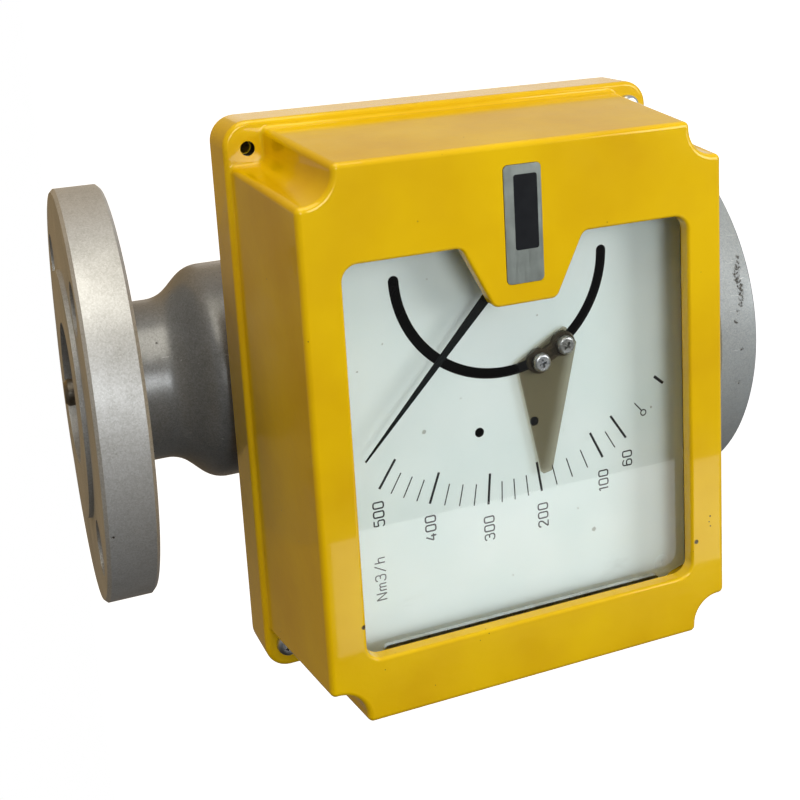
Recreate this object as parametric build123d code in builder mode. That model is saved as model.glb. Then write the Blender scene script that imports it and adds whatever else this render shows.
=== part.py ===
from build123d import *
import math
import os

# Flow meter of the metal-tube kind: a float rides up a cone inside a flanged steel tube, and a magnet
# in the float turns the pointer of a dial in a cast case beside it.
# Millimetres. The origin is the centre of the inlet raised face, +Z is the way the flow goes and -Y is
# where the dial faces.
# Depth in the case is counted back from the cover's front face. Angles at the pointer's pivot are
# counted from +X towards +Z, as seen from the front.

# Pipe ends
face_to_face = 250.0
flange_diameter = 152.4
flange_thickness = 17.5
raised_face_diameter = 92.1
raised_face_height = 1.6
bolt_circle_diameter = 120.65
bolt_hole_diameter = 19.05
bolt_count = 4
first_bolt_angle = 45.0
flange_edge_chamfer = 1.2
mouth_bore_diameter = 52.5
neck_bore_diameter = 50.5
mouth_depth = 24.0
pipe_diameter = 60.3
hub_height = 12.4
hub_fillet_width = 3.5
hub_fillet_height = 5.0

# Measuring tube and cone
tube_diameter = 82.0
tube_wall = 3.9
reducer_length = 22.0
cone_low_bore_diameter = 63.0
cone_high_bore_diameter = 71.2
cone_end_gap = 1.0

# Guide rod and what holds it
rod_diameter = 10.0
rod_low_end = 1.0
rod_proud = 2.0
rod_end_chamfer = 1.2
spider_height = 10.0
spider_hub_height = 14.0
spider_hub_diameter = 17.0
spider_ring_wall = 2.8
spider_arm_width = 4.0
spider_arm_count = 3
nut_across_flats = 16.0
nut_height = 8.0
retaining_ring_thickness = 1.5
retaining_ring_width = 3.0
retaining_ring_mouth = 14.0
groove_depth = 1.0
stop_diameter = 18.0
stop_height = 8.0

# Float
float_diameter = 60.8
float_rim_height = 3.0
float_tail_height = 24.0
float_cone_height = 16.0
float_neck_diameter = 44.0
float_shell_height = 12.0
float_cap_height = 8.0
float_cap_top_diameter = 20.0
float_wall = 2.5
magnet_floor_drop = 2.0
magnet_height = 12.0

# Fits
slide_gap = 0.3
running_gap = 0.05
shell_gap = 0.3

# Case, as seen from the front
case_x = 6.3
case_z = 120.4
saddle_web = 1.6
cover_step_x = 2.95
cover_step_z = 1.8
cover_draft_degrees = 6.06
cover_wall = 4.0
body_depth = 52.7
scallop_radius = 9.2
scallop_stub = 2.2
ear_round = 2.0
front_round = 1.8
cover_screw_edge_x = 8.95
cover_screw_edge_z = 7.9
cover_hole_diameter = 4.8
cover_screw_diameter = 4.0
cover_screw_length = 14.0
cover_head_diameter = 8.4
cover_head_height = 2.6
skirt_width = 191.5
skirt_height = 156.0
skirt_depth = 17.3
skirt_spread = 0.6
skirt_corner_radius = 8.5
skirt_wall = 3.9
skirt_shoulder = 3.8
skirt_round = 1.6
ledge_round = 1.2

# Window and nameplate. The window's rims are measured in from the cover's front outline
window_rim_left = 20.6
window_rim_right = 29.8
window_rim_low = 12.6
window_rim_high = 12.4
window_corner_radius = 5.0
window_edge_round = 1.0
tongue_reach = 19.8
tongue_root_width = 41.2
tongue_tip_width = 21.4
tongue_corner_radius = 3.0
nameplate_length = 36.4
nameplate_width = 12.4
nameplate_thickness = 0.8
nameplate_recess = 0.6
nameplate_corner_radius = 1.5
nameplate_edge = 24.8
nameplate_gap = 0.15
glass_margin = 5.0
glass_thickness = 3.0
seal_thickness = 1.0
seal_width = 4.0
clamp_width = 13.0
clamp_length = 100.0
clamp_thickness = 1.5
clamp_overlap = 3.5
clamp_screw_spacing = 80.0
clamp_boss_diameter = 7.0
clamp_hole_diameter = 2.6
clamp_screw_diameter = 2.5
clamp_head_diameter = 4.8
clamp_head_height = 1.5

# Back case
gasket_thickness = 1.5
tray_wall = 3.0
tray_floor = 3.0
tray_round = 1.5
corner_boss_diameter = 11.0
corner_hole_diameter = 4.1
corner_hole_depth = 14.0
entry_to_saddle = 10.2
entry_width = 27.0
entry_height = 24.0
entry_rise = 2.6
entry_depth = 26.0
entry_bore_diameter = 20.0
entry_bore_depth = 14.0
entry_passage_diameter = 13.0
gland_flange_diameter = 26.0
gland_flange_height = 5.0
gland_neck_height = 7.0
gland_nut_height = 14.0
gland_nut_diameter = 24.0
gland_plug_diameter = 12.0

# Saddles between case and tube
saddle_width = 64.0
saddle_height = 16.0
saddle_thickness = 17.0
saddle_spacing = 100.0
saddle_screw_spacing = 46.0
saddle_screw_depth = 6.5
saddle_screw_diameter = 5.0
saddle_head_diameter = 9.0
saddle_head_height = 2.5

# Scale plate
dial_thickness = 1.5
dial_edge_x = 13.2
dial_edge_z = 7.6
dial_corner_radius = 4.0
dial_post_edge_x = 4.0
dial_post_edge_z = 5.5
dial_post_diameter = 7.0
dial_screw_diameter = 3.0
dial_head_diameter = 5.5
dial_head_height = 1.8
dial_screw_length = 8.0
dial_spindle_hole = 8.0
slot_radius = 36.35
slot_width = 3.2
slot_from = 93.0
slot_to = 267.0
dot_hole_diameter = 3.2
dot_hole_x = -8.4
dot_hole_z = 9.9

# Pointer and movement
pivot_edge = 40.35
pointer_angle = 137.5
pointer_swing = 91.8
pointer_thickness = 0.8
pointer_reach = 75.1
pointer_root_width = 3.5
pointer_tip_width = 0.7
pointer_tail = 14.0
pointer_hub_diameter = 10.0
pointer_hub_front = 1.2
pointer_hub_back = 2.5
pointer_hub_wall = 2.5
spindle_diameter = 3.0
spindle_front_end = 0.6
spindle_back_end = 3.0
plate_thickness = 2.0
plate_right = 37.5
plate_left = -12.0
front_plate_left = 2.5
plate_half_height = 43.0
plate_corner_radius = 4.0
plate_nose_radius = 12.0
frame_post_near = 8.5
frame_post_far = 31.5
frame_post_z = 37.0
frame_post_diameter = 8.0
frame_screw_diameter = 3.0
frame_head_diameter = 5.5
frame_head_height = 1.8
frame_screw_length = 10.0
bush_diameter = 8.0
bush_flange_diameter = 12.0
bush_flange_height = 1.5
nose_diameter = 10.0
follower_radius = 50.0
follower_thickness = 1.5
follower_width = 7.0
follower_tail = 20.0
follower_hub_diameter = 9.0
follower_hub_height = 3.5
follower_magnet_length = 18.0
follower_magnet_width = 8.0
follower_magnet_height = 6.5
counterweight_diameter = 12.0
counterweight_height = 5.0
counterweight_radius = 14.0
damping_disc_radius = 25.0
damping_disc_thickness = 1.0
damping_hub_diameter = 9.0
damping_hub_height = 5.0
yoke_front_wall = 3.5
yoke_slot_height = 3.0
yoke_inner = 14.0
yoke_outer = 34.0
yoke_slot_outer = 26.5
yoke_width = 16.0
vane_thickness = 0.6
vane_radius = 29.0
vane_half_angle = 25.0
vane_hub_diameter = 9.0
vane_hub_height = 4.0

# Set-point arm
set_point_angle = 206.7
set_screw_half_angle = 7.85
set_screw_diameter = 2.4
set_head_diameter = 5.7
set_head_height = 1.5
set_plate_thickness = 0.9
set_clamp_thickness = 1.4
set_clamp_end_diameter = 8.4
set_clamp_neck_width = 5.0
switch_arm_thickness = 2.0
switch_arm_hub_diameter = 18.0
switch_arm_reach = 41.0
switch_arm_root_width = 12.0
switch_arm_tip_width = 22.0
arm_clip_thickness = 0.6
arm_clip_diameter = 13.0
arm_clip_mouth = 6.0
clip_groove = 0.8
sensor_inner_radius = 20.0
sensor_outer_radius = 36.0
sensor_width = 11.0
sensor_depth = 13.5
sensor_slot_height = 3.4
sensor_slot_reach = 31.0

# Marker plate of the set-point arm: the radius of each corner at the pivot, and its angle from the
# middle of the two screws. The tip lies to one side of that middle
marker_high_root_radius = 31.7
marker_high_root_angle = 14.7
marker_high_shoulder_radius = 38.8
marker_high_shoulder_angle = 13.1
marker_tip_radius = 73.6
marker_tip_high_angle = -15.4
marker_tip_low_angle = -18.2
marker_low_shoulder_radius = 37.5
marker_low_shoulder_angle = -20.5
marker_low_root_radius = 33.8
marker_low_root_angle = -21.1
marker_corner_radius = 0.8

# Gaps from one piece of the movement to the next, from the window back to the floor of the case
pointer_to_glass = 2.2
dial_to_pointer = 7.0
dial_to_marker = 2.8
nose_to_dial = 2.4
arm_to_nose = 1.9
plate_to_arm = 4.5
vane_to_plate = 1.7
vane_slot_gap = 1.4
disc_to_vane = 12.3
disc_slot_gap = 1.0
plate_to_disc = 8.0
follower_to_plate = 10.0
floor_to_spindle = 10.0

# Terminal block
terminal_edge = 39.2
terminal_z = -27.0
terminal_length = 50.0
terminal_width = 16.0
terminal_height = 14.0
terminal_count = 4
terminal_pitch = 11.0
terminal_hole_diameter = 7.0
terminal_hole_depth = 6.0
terminal_head_diameter = 5.5
terminal_head_height = 1.5
terminal_screw_diameter = 3.0

# How deep a post is tapped, and how near an edge lies to a place by which it is picked
tapped_depth = 10.0
pick_gap = 0.01

# Places worked out from the sizes above
weld_height = raised_face_height + flange_thickness + hub_height
tube_radius = tube_diameter / 2
tube_bore_radius = tube_radius - tube_wall
reducer_top = weld_height + reducer_length
mid_plane = Plane.XY.offset(face_to_face / 2)
glass_depth = cover_wall + seal_thickness
clamp_depth = glass_depth + glass_thickness
pointer_depth = clamp_depth + pointer_to_glass
pointer_hub_depth = pointer_depth - pointer_hub_front
spindle_front = pointer_depth - spindle_front_end
dial_depth = pointer_depth + dial_to_pointer
dial_back = dial_depth + dial_thickness
set_plate_depth = dial_depth - dial_to_marker
nose_depth = dial_depth + nose_to_dial
switch_arm_depth = nose_depth + arm_to_nose
switch_arm_back = switch_arm_depth + switch_arm_thickness
front_plate_depth = switch_arm_depth + plate_to_arm
front_plate_back = front_plate_depth + plate_thickness
vane_depth = front_plate_back + vane_to_plate
sensor_slot_front = vane_depth - vane_slot_gap
damping_disc_depth = vane_depth + disc_to_vane
yoke_slot_front = damping_disc_depth - disc_slot_gap
yoke_front = yoke_slot_front - yoke_front_wall
rear_plate_depth = damping_disc_depth + plate_to_disc
rear_plate_back = rear_plate_depth + plate_thickness
follower_depth = rear_plate_depth + follower_to_plate
spindle_back = follower_depth + spindle_back_end
floor_depth = spindle_back + floor_to_spindle
case_depth = floor_depth + tray_floor
case_front_y = -(tube_radius + saddle_web + case_depth)
ledge_y = case_front_y + body_depth
tray_depth = body_depth + skirt_shoulder + gasket_thickness
cover_slope = math.tan(math.radians(cover_draft_degrees))
cover_draft = body_depth * cover_slope
cover_width = skirt_width - 2 * (cover_step_x + cover_draft)
cover_height = skirt_height - 2 * (cover_step_z + cover_draft)
cover_screw_x = skirt_width / 2 - cover_screw_edge_x
cover_screw_z = skirt_height / 2 - cover_screw_edge_z
window_left = window_rim_left - cover_width / 2
window_right = cover_width / 2 - window_rim_right
window_low = window_rim_low - cover_height / 2
window_high = cover_height / 2 - window_rim_high
nameplate_x = cover_width / 2 - nameplate_edge
entry_x = -(case_x + saddle_width / 2 + entry_to_saddle + entry_width / 2)
entry_low = entry_rise - cover_height / 2
dial_half_width = cover_width / 2 - dial_edge_x
dial_half_height = cover_height / 2 - dial_edge_z
dial_post_x = dial_half_width - dial_post_edge_x
dial_post_z = dial_half_height - dial_post_edge_z
pivot_x = cover_width / 2 - pivot_edge
terminal_x = terminal_edge - cover_width / 2
scallop_x = cover_width / 2 - scallop_stub
scallop_z = cover_height / 2 - scallop_stub
tray_half_width = skirt_width / 2 - skirt_wall - shell_gap
tray_half_height = skirt_height / 2 - skirt_wall - shell_gap
tray_corner_radius = skirt_corner_radius - skirt_wall
zero_angle = pointer_angle + pointer_swing
float_rest_z = case_z + follower_radius * math.sin(math.radians(pointer_angle))
float_low_z = case_z + follower_radius * math.sin(math.radians(zero_angle))
corner_points = [(x * cover_screw_x, z * cover_screw_z) for x in (-1, 1) for z in (-1, 1)]
dial_points = [(x * dial_post_x, z * dial_post_z) for x in (-1, 1) for z in (-1, 1)]
frame_points = [(x, z * frame_post_z) for x in (frame_post_near, frame_post_far) for z in (-1, 1)]


def case_plane(depth):
    """Plane across the case at a depth, seen from the front, centred on the case."""
    return Plane(origin=(case_x, case_front_y + depth, case_z), x_dir=(1, 0, 0), z_dir=(0, -1, 0))


def pivot_plane(depth, angle=0.0):
    """Plane across the case at a depth, centred on the pivot, with its x along an angle."""
    turn = math.radians(angle)
    return Plane(
        origin=(case_x + pivot_x, case_front_y + depth, case_z),
        x_dir=(math.cos(turn), 0, math.sin(turn)),
        z_dir=(0, -1, 0),
    )


def rear_facing_plane(depth):
    """Plane across the case at a depth, seen from behind: its y points down."""
    return Plane(origin=case_plane(depth).origin, x_dir=(1, 0, 0), z_dir=(0, 1, 0))


def cover_outline(depth, inset=0.0):
    """Outline of the cover body: a rectangle with its four corners scooped out round the screws."""
    spread = depth * cover_slope
    half_width = cover_width / 2 + spread - inset
    half_height = cover_height / 2 + spread - inset
    centre_x = scallop_x - inset
    centre_z = scallop_z - inset
    radius = scallop_radius - spread
    middle = radius * math.sqrt(0.5)
    with BuildSketch() as section:
        with BuildLine() as edge:
            Line((half_width, 0), (half_width, centre_z - radius))
            Line((half_width, centre_z - radius), (centre_x, centre_z - radius))
            ThreePointArc(
                (centre_x, centre_z - radius),
                (centre_x - middle, centre_z - middle),
                (centre_x - radius, centre_z),
            )
            Line((centre_x - radius, centre_z), (centre_x - radius, half_height))
            Line((centre_x - radius, half_height), (0, half_height))
            mirror(edge.line, about=Plane.YZ)
            mirror(edge.line, about=Plane.XZ)
        make_face()
        ears = section.vertices().filter_by(
            lambda v: (abs(abs(v.X) - half_width) < pick_gap and abs(v.Y) > pick_gap)
            or (abs(abs(v.Y) - half_height) < pick_gap and abs(v.X) > pick_gap)
        )
        fillet(ears, radius=ear_round)
    return section.sketch


def window_outline():
    """Window opening with the tongue that comes in from its right side."""
    width = window_right - window_left
    height = window_high - window_low
    middle_x = (window_right + window_left) / 2
    middle_z = (window_high + window_low) / 2
    tongue_tip = window_right - tongue_reach
    with BuildSketch() as opening:
        with Locations((middle_x, middle_z)):
            Rectangle(width, height)
        with BuildLine():
            Polyline(
                (window_right, tongue_root_width / 2),
                (tongue_tip, tongue_tip_width / 2),
                (tongue_tip, -tongue_tip_width / 2),
                (window_right, -tongue_root_width / 2),
                close=True,
            )
        make_face(mode=Mode.SUBTRACT)
        corners = opening.vertices().group_by(Axis.X)
        fillet(corners[0], radius=window_corner_radius)
        outer_corners = opening.vertices().group_by(Axis.X)[-1].sort_by(Axis.Y)
        fillet([outer_corners[0], outer_corners[-1]], radius=window_corner_radius)
        tip = opening.vertices().filter_by(lambda v: abs(v.X - tongue_tip) < pick_gap)
        root = opening.vertices().filter_by(
            lambda v: abs(abs(v.Y) - tongue_root_width / 2) < pick_gap
        )
        fillet(tip + root, radius=tongue_corner_radius)
    return opening.sketch


def pan_screws(plane, points, head_diameter, head_height, shank_diameter, shank_length):
    """Pan-head screws whose heads bear on a plane, as one group of solids."""
    with BuildPart() as group:
        with BuildSketch(plane):
            with Locations(*points):
                Circle(head_diameter / 2)
        extrude(amount=head_height)
        rims = group.faces().group_by(Axis(plane.origin, plane.z_dir))[-1].edges()
        fillet(rims, radius=head_height / 2)
        with BuildSketch(plane):
            with Locations(*points):
                Circle(shank_diameter / 2)
        extrude(amount=-shank_length)
    return group


def round_posts(plane, points, diameter, length, hole_diameter):
    """Round posts that stand behind a plane, tapped at their front ends, as one group of solids."""
    with BuildPart() as group:
        with BuildSketch(plane):
            with Locations(*points):
                Circle(diameter / 2)
        extrude(amount=-length)
        with BuildSketch(plane):
            with Locations(*points):
                Circle(hole_diameter / 2)
        extrude(amount=-min(tapped_depth, length / 2), mode=Mode.SUBTRACT)
    return group


# Flanges, with the stepped mouth that seats a spider and the groove of its retaining ring
ring_top = mouth_depth - spider_height
ring_low = ring_top - retaining_ring_thickness
mouth_radius = mouth_bore_diameter / 2
neck_radius = neck_bore_diameter / 2
pipe_radius = pipe_diameter / 2
flange_back = raised_face_height + flange_thickness

with BuildPart() as inlet_flange:
    with BuildSketch(Plane.XZ):
        with BuildLine():
            Polyline(
                (mouth_radius, 0),
                (raised_face_diameter / 2, 0),
                (raised_face_diameter / 2, raised_face_height),
                (flange_diameter / 2, raised_face_height),
                (flange_diameter / 2, flange_back),
                (pipe_radius + hub_fillet_width, flange_back),
                (pipe_radius, flange_back + hub_fillet_height),
                (pipe_radius, weld_height),
                (neck_radius, weld_height),
                (neck_radius, mouth_depth),
                (mouth_radius, mouth_depth),
                (mouth_radius, ring_top),
                (mouth_radius + groove_depth, ring_top),
                (mouth_radius + groove_depth, ring_low),
                (mouth_radius, ring_low),
                close=True,
            )
        make_face()
    revolve(axis=Axis.Z)
    rims = inlet_flange.edges().filter_by(GeomType.CIRCLE).filter_by(
        lambda e: abs(e.radius - flange_diameter / 2) < pick_gap
    )
    chamfer(rims, length=flange_edge_chamfer)
    with BuildSketch(Plane.XY.offset(raised_face_height)):
        with PolarLocations(bolt_circle_diameter / 2, bolt_count, start_angle=first_bolt_angle):
            Circle(bolt_hole_diameter / 2)
    extrude(amount=flange_thickness, mode=Mode.SUBTRACT)

with BuildPart() as outlet_flange:
    mirror(inlet_flange.part, about=mid_plane)

# Measuring tube, formed in one with its two reducers
with BuildPart() as measuring_tube:
    with BuildSketch(Plane.XZ):
        with BuildLine():
            outer_curve = Spline(
                (pipe_radius, weld_height), (tube_radius, reducer_top), tangents=[(0, 1), (0, 1)]
            )
            Line(outer_curve @ 1, (tube_radius, face_to_face / 2))
            Line((tube_radius, face_to_face / 2), (tube_bore_radius, face_to_face / 2))
            inner_curve = Spline(
                (neck_radius, weld_height), (tube_bore_radius, reducer_top), tangents=[(0, 1), (0, 1)]
            )
            Line(inner_curve @ 1, (tube_bore_radius, face_to_face / 2))
            Line(outer_curve @ 0, inner_curve @ 0)
        make_face()
    revolve(axis=Axis.Z)
    mirror(about=mid_plane)

# Metering cone: a straight sleeve outside, a cone inside that widens upwards
cone_low = reducer_top + cone_end_gap
cone_high = face_to_face - cone_low
with BuildPart() as metering_cone:
    with BuildSketch(Plane.XZ):
        with BuildLine():
            Polyline(
                (tube_bore_radius - running_gap, cone_low),
                (tube_bore_radius - running_gap, cone_high),
                (cone_high_bore_diameter / 2, cone_high),
                (cone_low_bore_diameter / 2, cone_low),
                close=True,
            )
        make_face()
    revolve(axis=Axis.Z)

# Guide rod, held by a spider and two nuts at each end
rod_top = face_to_face + rod_proud
with BuildPart() as guide_rod:
    with BuildSketch(Plane.XY.offset(rod_low_end)):
        Circle(rod_diameter / 2)
    extrude(amount=rod_top - rod_low_end)
    rod_ends = guide_rod.edges().filter_by(GeomType.CIRCLE)
    chamfer(rod_ends, length=rod_end_chamfer)

with BuildPart() as inlet_spider:
    with BuildSketch(Plane.XY.offset(mouth_depth)):
        Circle(mouth_radius - running_gap)
        Circle(mouth_radius - running_gap - spider_ring_wall, mode=Mode.SUBTRACT)
        with PolarLocations(mouth_radius / 2, spider_arm_count):
            Rectangle(mouth_radius - spider_ring_wall, spider_arm_width)
        Circle(rod_diameter / 2, mode=Mode.SUBTRACT)
    extrude(amount=-spider_height)
    with BuildSketch(Plane.XY.offset(mouth_depth)):
        Circle(spider_hub_diameter / 2)
        Circle(rod_diameter / 2, mode=Mode.SUBTRACT)
    extrude(amount=-spider_hub_height)

with BuildPart() as outlet_spider:
    mirror(inlet_spider.part, about=mid_plane)

with BuildPart() as guide_rod_nuts:
    for base in (mouth_depth, mouth_depth - spider_hub_height - nut_height):
        with BuildSketch(Plane.XY.offset(base)):
            RegularPolygon(radius=nut_across_flats / 2, side_count=6, major_radius=False)
            Circle(rod_diameter / 2, mode=Mode.SUBTRACT)
        extrude(amount=nut_height)
    mirror(about=mid_plane)

with BuildPart() as inlet_retaining_ring:
    with BuildSketch(Plane.XY.offset(ring_low)):
        Circle(mouth_radius + groove_depth - running_gap)
        Circle(mouth_radius + groove_depth - running_gap - retaining_ring_width, mode=Mode.SUBTRACT)
        with Locations((0, -mouth_radius)):
            Rectangle(retaining_ring_mouth, retaining_ring_mouth, mode=Mode.SUBTRACT)
    extrude(amount=retaining_ring_thickness)

with BuildPart() as outlet_retaining_ring:
    mirror(inlet_retaining_ring.part, about=mid_plane)

# Float: a turned body with a ring magnet under a screwed cap
float_bore_radius = rod_diameter / 2 + slide_gap
float_sleeve_radius = float_bore_radius + float_wall
float_shell_radius = float_neck_diameter / 2 - float_wall
with BuildPart() as float_body:
    with BuildSketch(Plane.XZ):
        with BuildLine():
            Polyline(
                (float_bore_radius, float_rest_z - float_tail_height),
                (float_sleeve_radius, float_rest_z - float_tail_height),
                (float_diameter / 2, float_rest_z - float_tail_height + float_cone_height),
                (float_diameter / 2, float_rest_z - float_tail_height + float_cone_height + float_rim_height),
                (float_neck_diameter / 2, float_rest_z),
                (float_neck_diameter / 2, float_rest_z + float_shell_height),
                (float_shell_radius, float_rest_z + float_shell_height),
                (float_shell_radius, float_rest_z - magnet_floor_drop),
                (float_sleeve_radius, float_rest_z - magnet_floor_drop),
                (float_sleeve_radius, float_rest_z + float_shell_height),
                (float_bore_radius, float_rest_z + float_shell_height),
                close=True,
            )
        make_face()
    revolve(axis=Axis.Z)

with BuildPart() as float_cap:
    with BuildSketch(Plane.XZ):
        with BuildLine():
            Polyline(
                (float_bore_radius, float_rest_z + float_shell_height),
                (float_neck_diameter / 2, float_rest_z + float_shell_height),
                (float_neck_diameter / 2, float_rest_z + float_shell_height + float_wall),
                (float_cap_top_diameter / 2, float_rest_z + float_shell_height + float_cap_height),
                (float_bore_radius, float_rest_z + float_shell_height + float_cap_height),
                close=True,
            )
        make_face()
    revolve(axis=Axis.Z)

with BuildPart() as float_magnet:
    with BuildSketch(Plane.XY.offset(float_rest_z - magnet_floor_drop)):
        Circle(float_shell_radius - running_gap)
        Circle(float_sleeve_radius + running_gap, mode=Mode.SUBTRACT)
    extrude(amount=magnet_height)

# Stops that end the float's travel, pinned on the rod
float_top = float_rest_z + float_shell_height + float_cap_height
float_bottom = float_low_z - float_tail_height
with BuildPart() as upper_stop:
    with BuildSketch(Plane.XY.offset(float_top + slide_gap)):
        Circle(stop_diameter / 2)
        Circle(rod_diameter / 2, mode=Mode.SUBTRACT)
    extrude(amount=stop_height)

with BuildPart() as lower_stop:
    with BuildSketch(Plane.XY.offset(float_bottom - slide_gap)):
        Circle(stop_diameter / 2)
        Circle(rod_diameter / 2, mode=Mode.SUBTRACT)
    extrude(amount=-stop_height)

# Front cover: one casting with a drafted body, scooped corners, a skirt and a tongue over the window
with BuildPart() as front_cover:
    with BuildSketch(case_plane(body_depth)):
        RectangleRounded(skirt_width, skirt_height, skirt_corner_radius)
    with BuildSketch(case_plane(body_depth + skirt_depth)):
        RectangleRounded(
            skirt_width + 2 * skirt_spread, skirt_height + 2 * skirt_spread, skirt_corner_radius
        )
    loft(ruled=True)
    fillet(front_cover.faces().sort_by(Axis.Y)[0].edges(), radius=skirt_round)
    for depth in (0, body_depth):
        with BuildSketch(case_plane(depth)):
            add(cover_outline(depth))
    loft(ruled=True)
    fillet(front_cover.faces().sort_by(Axis.Y)[0].edges(), radius=front_round)
    ledge = front_cover.faces().filter_by(lambda f: abs(f.center().Y - ledge_y) < pick_gap)[0]
    fillet(ledge.inner_wires()[0].edges(), radius=ledge_round)
    for depth in (cover_wall, tray_depth):
        with BuildSketch(case_plane(depth)):
            add(cover_outline(depth, cover_wall))
    loft(ruled=True, mode=Mode.SUBTRACT)
    with BuildSketch(case_plane(body_depth + skirt_shoulder)):
        RectangleRounded(
            2 * (tray_half_width + shell_gap), 2 * (tray_half_height + shell_gap), tray_corner_radius
        )
    extrude(amount=-skirt_depth, mode=Mode.SUBTRACT)
    with BuildSketch(case_plane(body_depth)):
        with Locations(*corner_points):
            Circle(cover_hole_diameter / 2)
    extrude(amount=-skirt_shoulder, mode=Mode.SUBTRACT)
    with BuildSketch(case_plane(0)):
        add(window_outline())
    extrude(amount=-cover_wall, mode=Mode.SUBTRACT)
    window_edges = front_cover.faces().sort_by(Axis.Y)[0].inner_wires()[0].edges()
    fillet(window_edges, radius=window_edge_round)
    with BuildSketch(case_plane(0)):
        with Locations((nameplate_x, 0)):
            RectangleRounded(
                nameplate_length + 2 * nameplate_gap,
                nameplate_width + 2 * nameplate_gap,
                nameplate_corner_radius + nameplate_gap,
            )
    extrude(amount=-nameplate_recess, mode=Mode.SUBTRACT)
    clamp_left_x = window_left - glass_margin - clamp_width / 2 + clamp_overlap
    clamp_right_x = window_right + glass_margin + clamp_width / 2 - clamp_overlap
    clamp_middle_z = (window_high + window_low) / 2
    boss_shift = clamp_overlap / 2
    clamp_points = [
        (x, clamp_middle_z + z * clamp_screw_spacing / 2)
        for x in (clamp_left_x - boss_shift, clamp_right_x + boss_shift)
        for z in (-1, 1)
    ]
    with BuildSketch(case_plane(clamp_depth)):
        with Locations(*clamp_points):
            Circle(clamp_boss_diameter / 2)
    extrude(amount=clamp_depth - cover_wall)
    with BuildSketch(case_plane(clamp_depth)):
        with Locations(*clamp_points):
            Circle(clamp_hole_diameter / 2)
    extrude(amount=glass_thickness, mode=Mode.SUBTRACT)

with BuildPart() as nameplate:
    with BuildSketch(case_plane(nameplate_recess)):
        with Locations((nameplate_x, 0)):
            RectangleRounded(nameplate_length, nameplate_width, nameplate_corner_radius)
    extrude(amount=nameplate_thickness)

# Window: glass on a seal, held by two clamp strips screwed to the cover
glass_width = window_right - window_left + 2 * glass_margin
glass_height = window_high - window_low + 2 * glass_margin
glass_centre = ((window_right + window_left) / 2, clamp_middle_z)
with BuildPart() as window_seal:
    with BuildSketch(case_plane(cover_wall)):
        with Locations(glass_centre):
            RectangleRounded(glass_width, glass_height, window_corner_radius)
            Rectangle(glass_width - 2 * seal_width, glass_height - 2 * seal_width, mode=Mode.SUBTRACT)
    extrude(amount=-seal_thickness)

with BuildPart() as window_glass:
    with BuildSketch(case_plane(glass_depth)):
        with Locations(glass_centre):
            RectangleRounded(glass_width, glass_height, window_corner_radius)
    extrude(amount=-glass_thickness)

with BuildPart() as window_clamps:
    with BuildSketch(case_plane(clamp_depth)):
        with Locations((clamp_left_x, clamp_middle_z), (clamp_right_x, clamp_middle_z)):
            RectangleRounded(clamp_width, clamp_length, clamp_thickness)
        with Locations(*clamp_points):
            Circle(clamp_hole_diameter / 2, mode=Mode.SUBTRACT)
    extrude(amount=-clamp_thickness)

# Gasket between cover and back case
with BuildPart() as cover_gasket:
    with BuildSketch(case_plane(body_depth + skirt_shoulder)):
        RectangleRounded(2 * tray_half_width, 2 * tray_half_height, tray_corner_radius)
        with Locations(*corner_points):
            Circle(cover_hole_diameter / 2, mode=Mode.SUBTRACT)
        add(cover_outline(tray_depth, cover_wall), mode=Mode.SUBTRACT)
    extrude(amount=-gasket_thickness)

# Back case: a tray with corner bosses and, low on its back, the boss of the cable entry
saddle_points = [
    (x * saddle_screw_spacing / 2 - case_x, z * saddle_spacing / 2) for x in (-1, 1) for z in (-1, 1)
]
entry_axis_depth = case_depth + entry_depth / 2
entry_plane = Plane(
    origin=(case_x + entry_x, case_front_y + entry_axis_depth, case_z + entry_low), z_dir=(0, 0, -1)
)
with BuildPart() as back_case:
    with BuildSketch(case_plane(tray_depth)):
        RectangleRounded(2 * tray_half_width, 2 * tray_half_height, tray_corner_radius)
    extrude(amount=tray_depth - case_depth)
    back_edges = back_case.faces().sort_by(Axis.Y)[-1].edges()
    fillet(back_edges, radius=tray_round)
    with BuildSketch(case_plane(tray_depth)):
        RectangleRounded(
            2 * (tray_half_width - tray_wall), 2 * (tray_half_height - tray_wall), tray_corner_radius
        )
        with Locations(*corner_points):
            Circle(corner_boss_diameter / 2, mode=Mode.SUBTRACT)
    extrude(amount=tray_depth - floor_depth, mode=Mode.SUBTRACT)
    with BuildSketch(case_plane(tray_depth)):
        with Locations(*corner_points):
            Circle(corner_hole_diameter / 2)
    extrude(amount=-corner_hole_depth, mode=Mode.SUBTRACT)
    with BuildSketch(case_plane(case_depth)):
        with Locations((entry_x, entry_low + entry_height / 2)):
            RectangleRounded(entry_width, entry_height, tray_corner_radius)
    extrude(amount=-entry_depth)
    with BuildSketch(entry_plane):
        Circle(entry_bore_diameter / 2)
    extrude(amount=-entry_bore_depth, mode=Mode.SUBTRACT)
    with BuildSketch(case_plane(floor_depth)):
        with Locations((entry_x, entry_low + entry_height / 2)):
            Circle(entry_passage_diameter / 2)
    extrude(amount=-(entry_axis_depth - floor_depth), mode=Mode.SUBTRACT)
    with BuildSketch(case_plane(floor_depth)):
        with Locations(*saddle_points):
            Circle(saddle_screw_diameter / 2 + slide_gap)
    extrude(amount=-tray_floor, mode=Mode.SUBTRACT)

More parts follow.
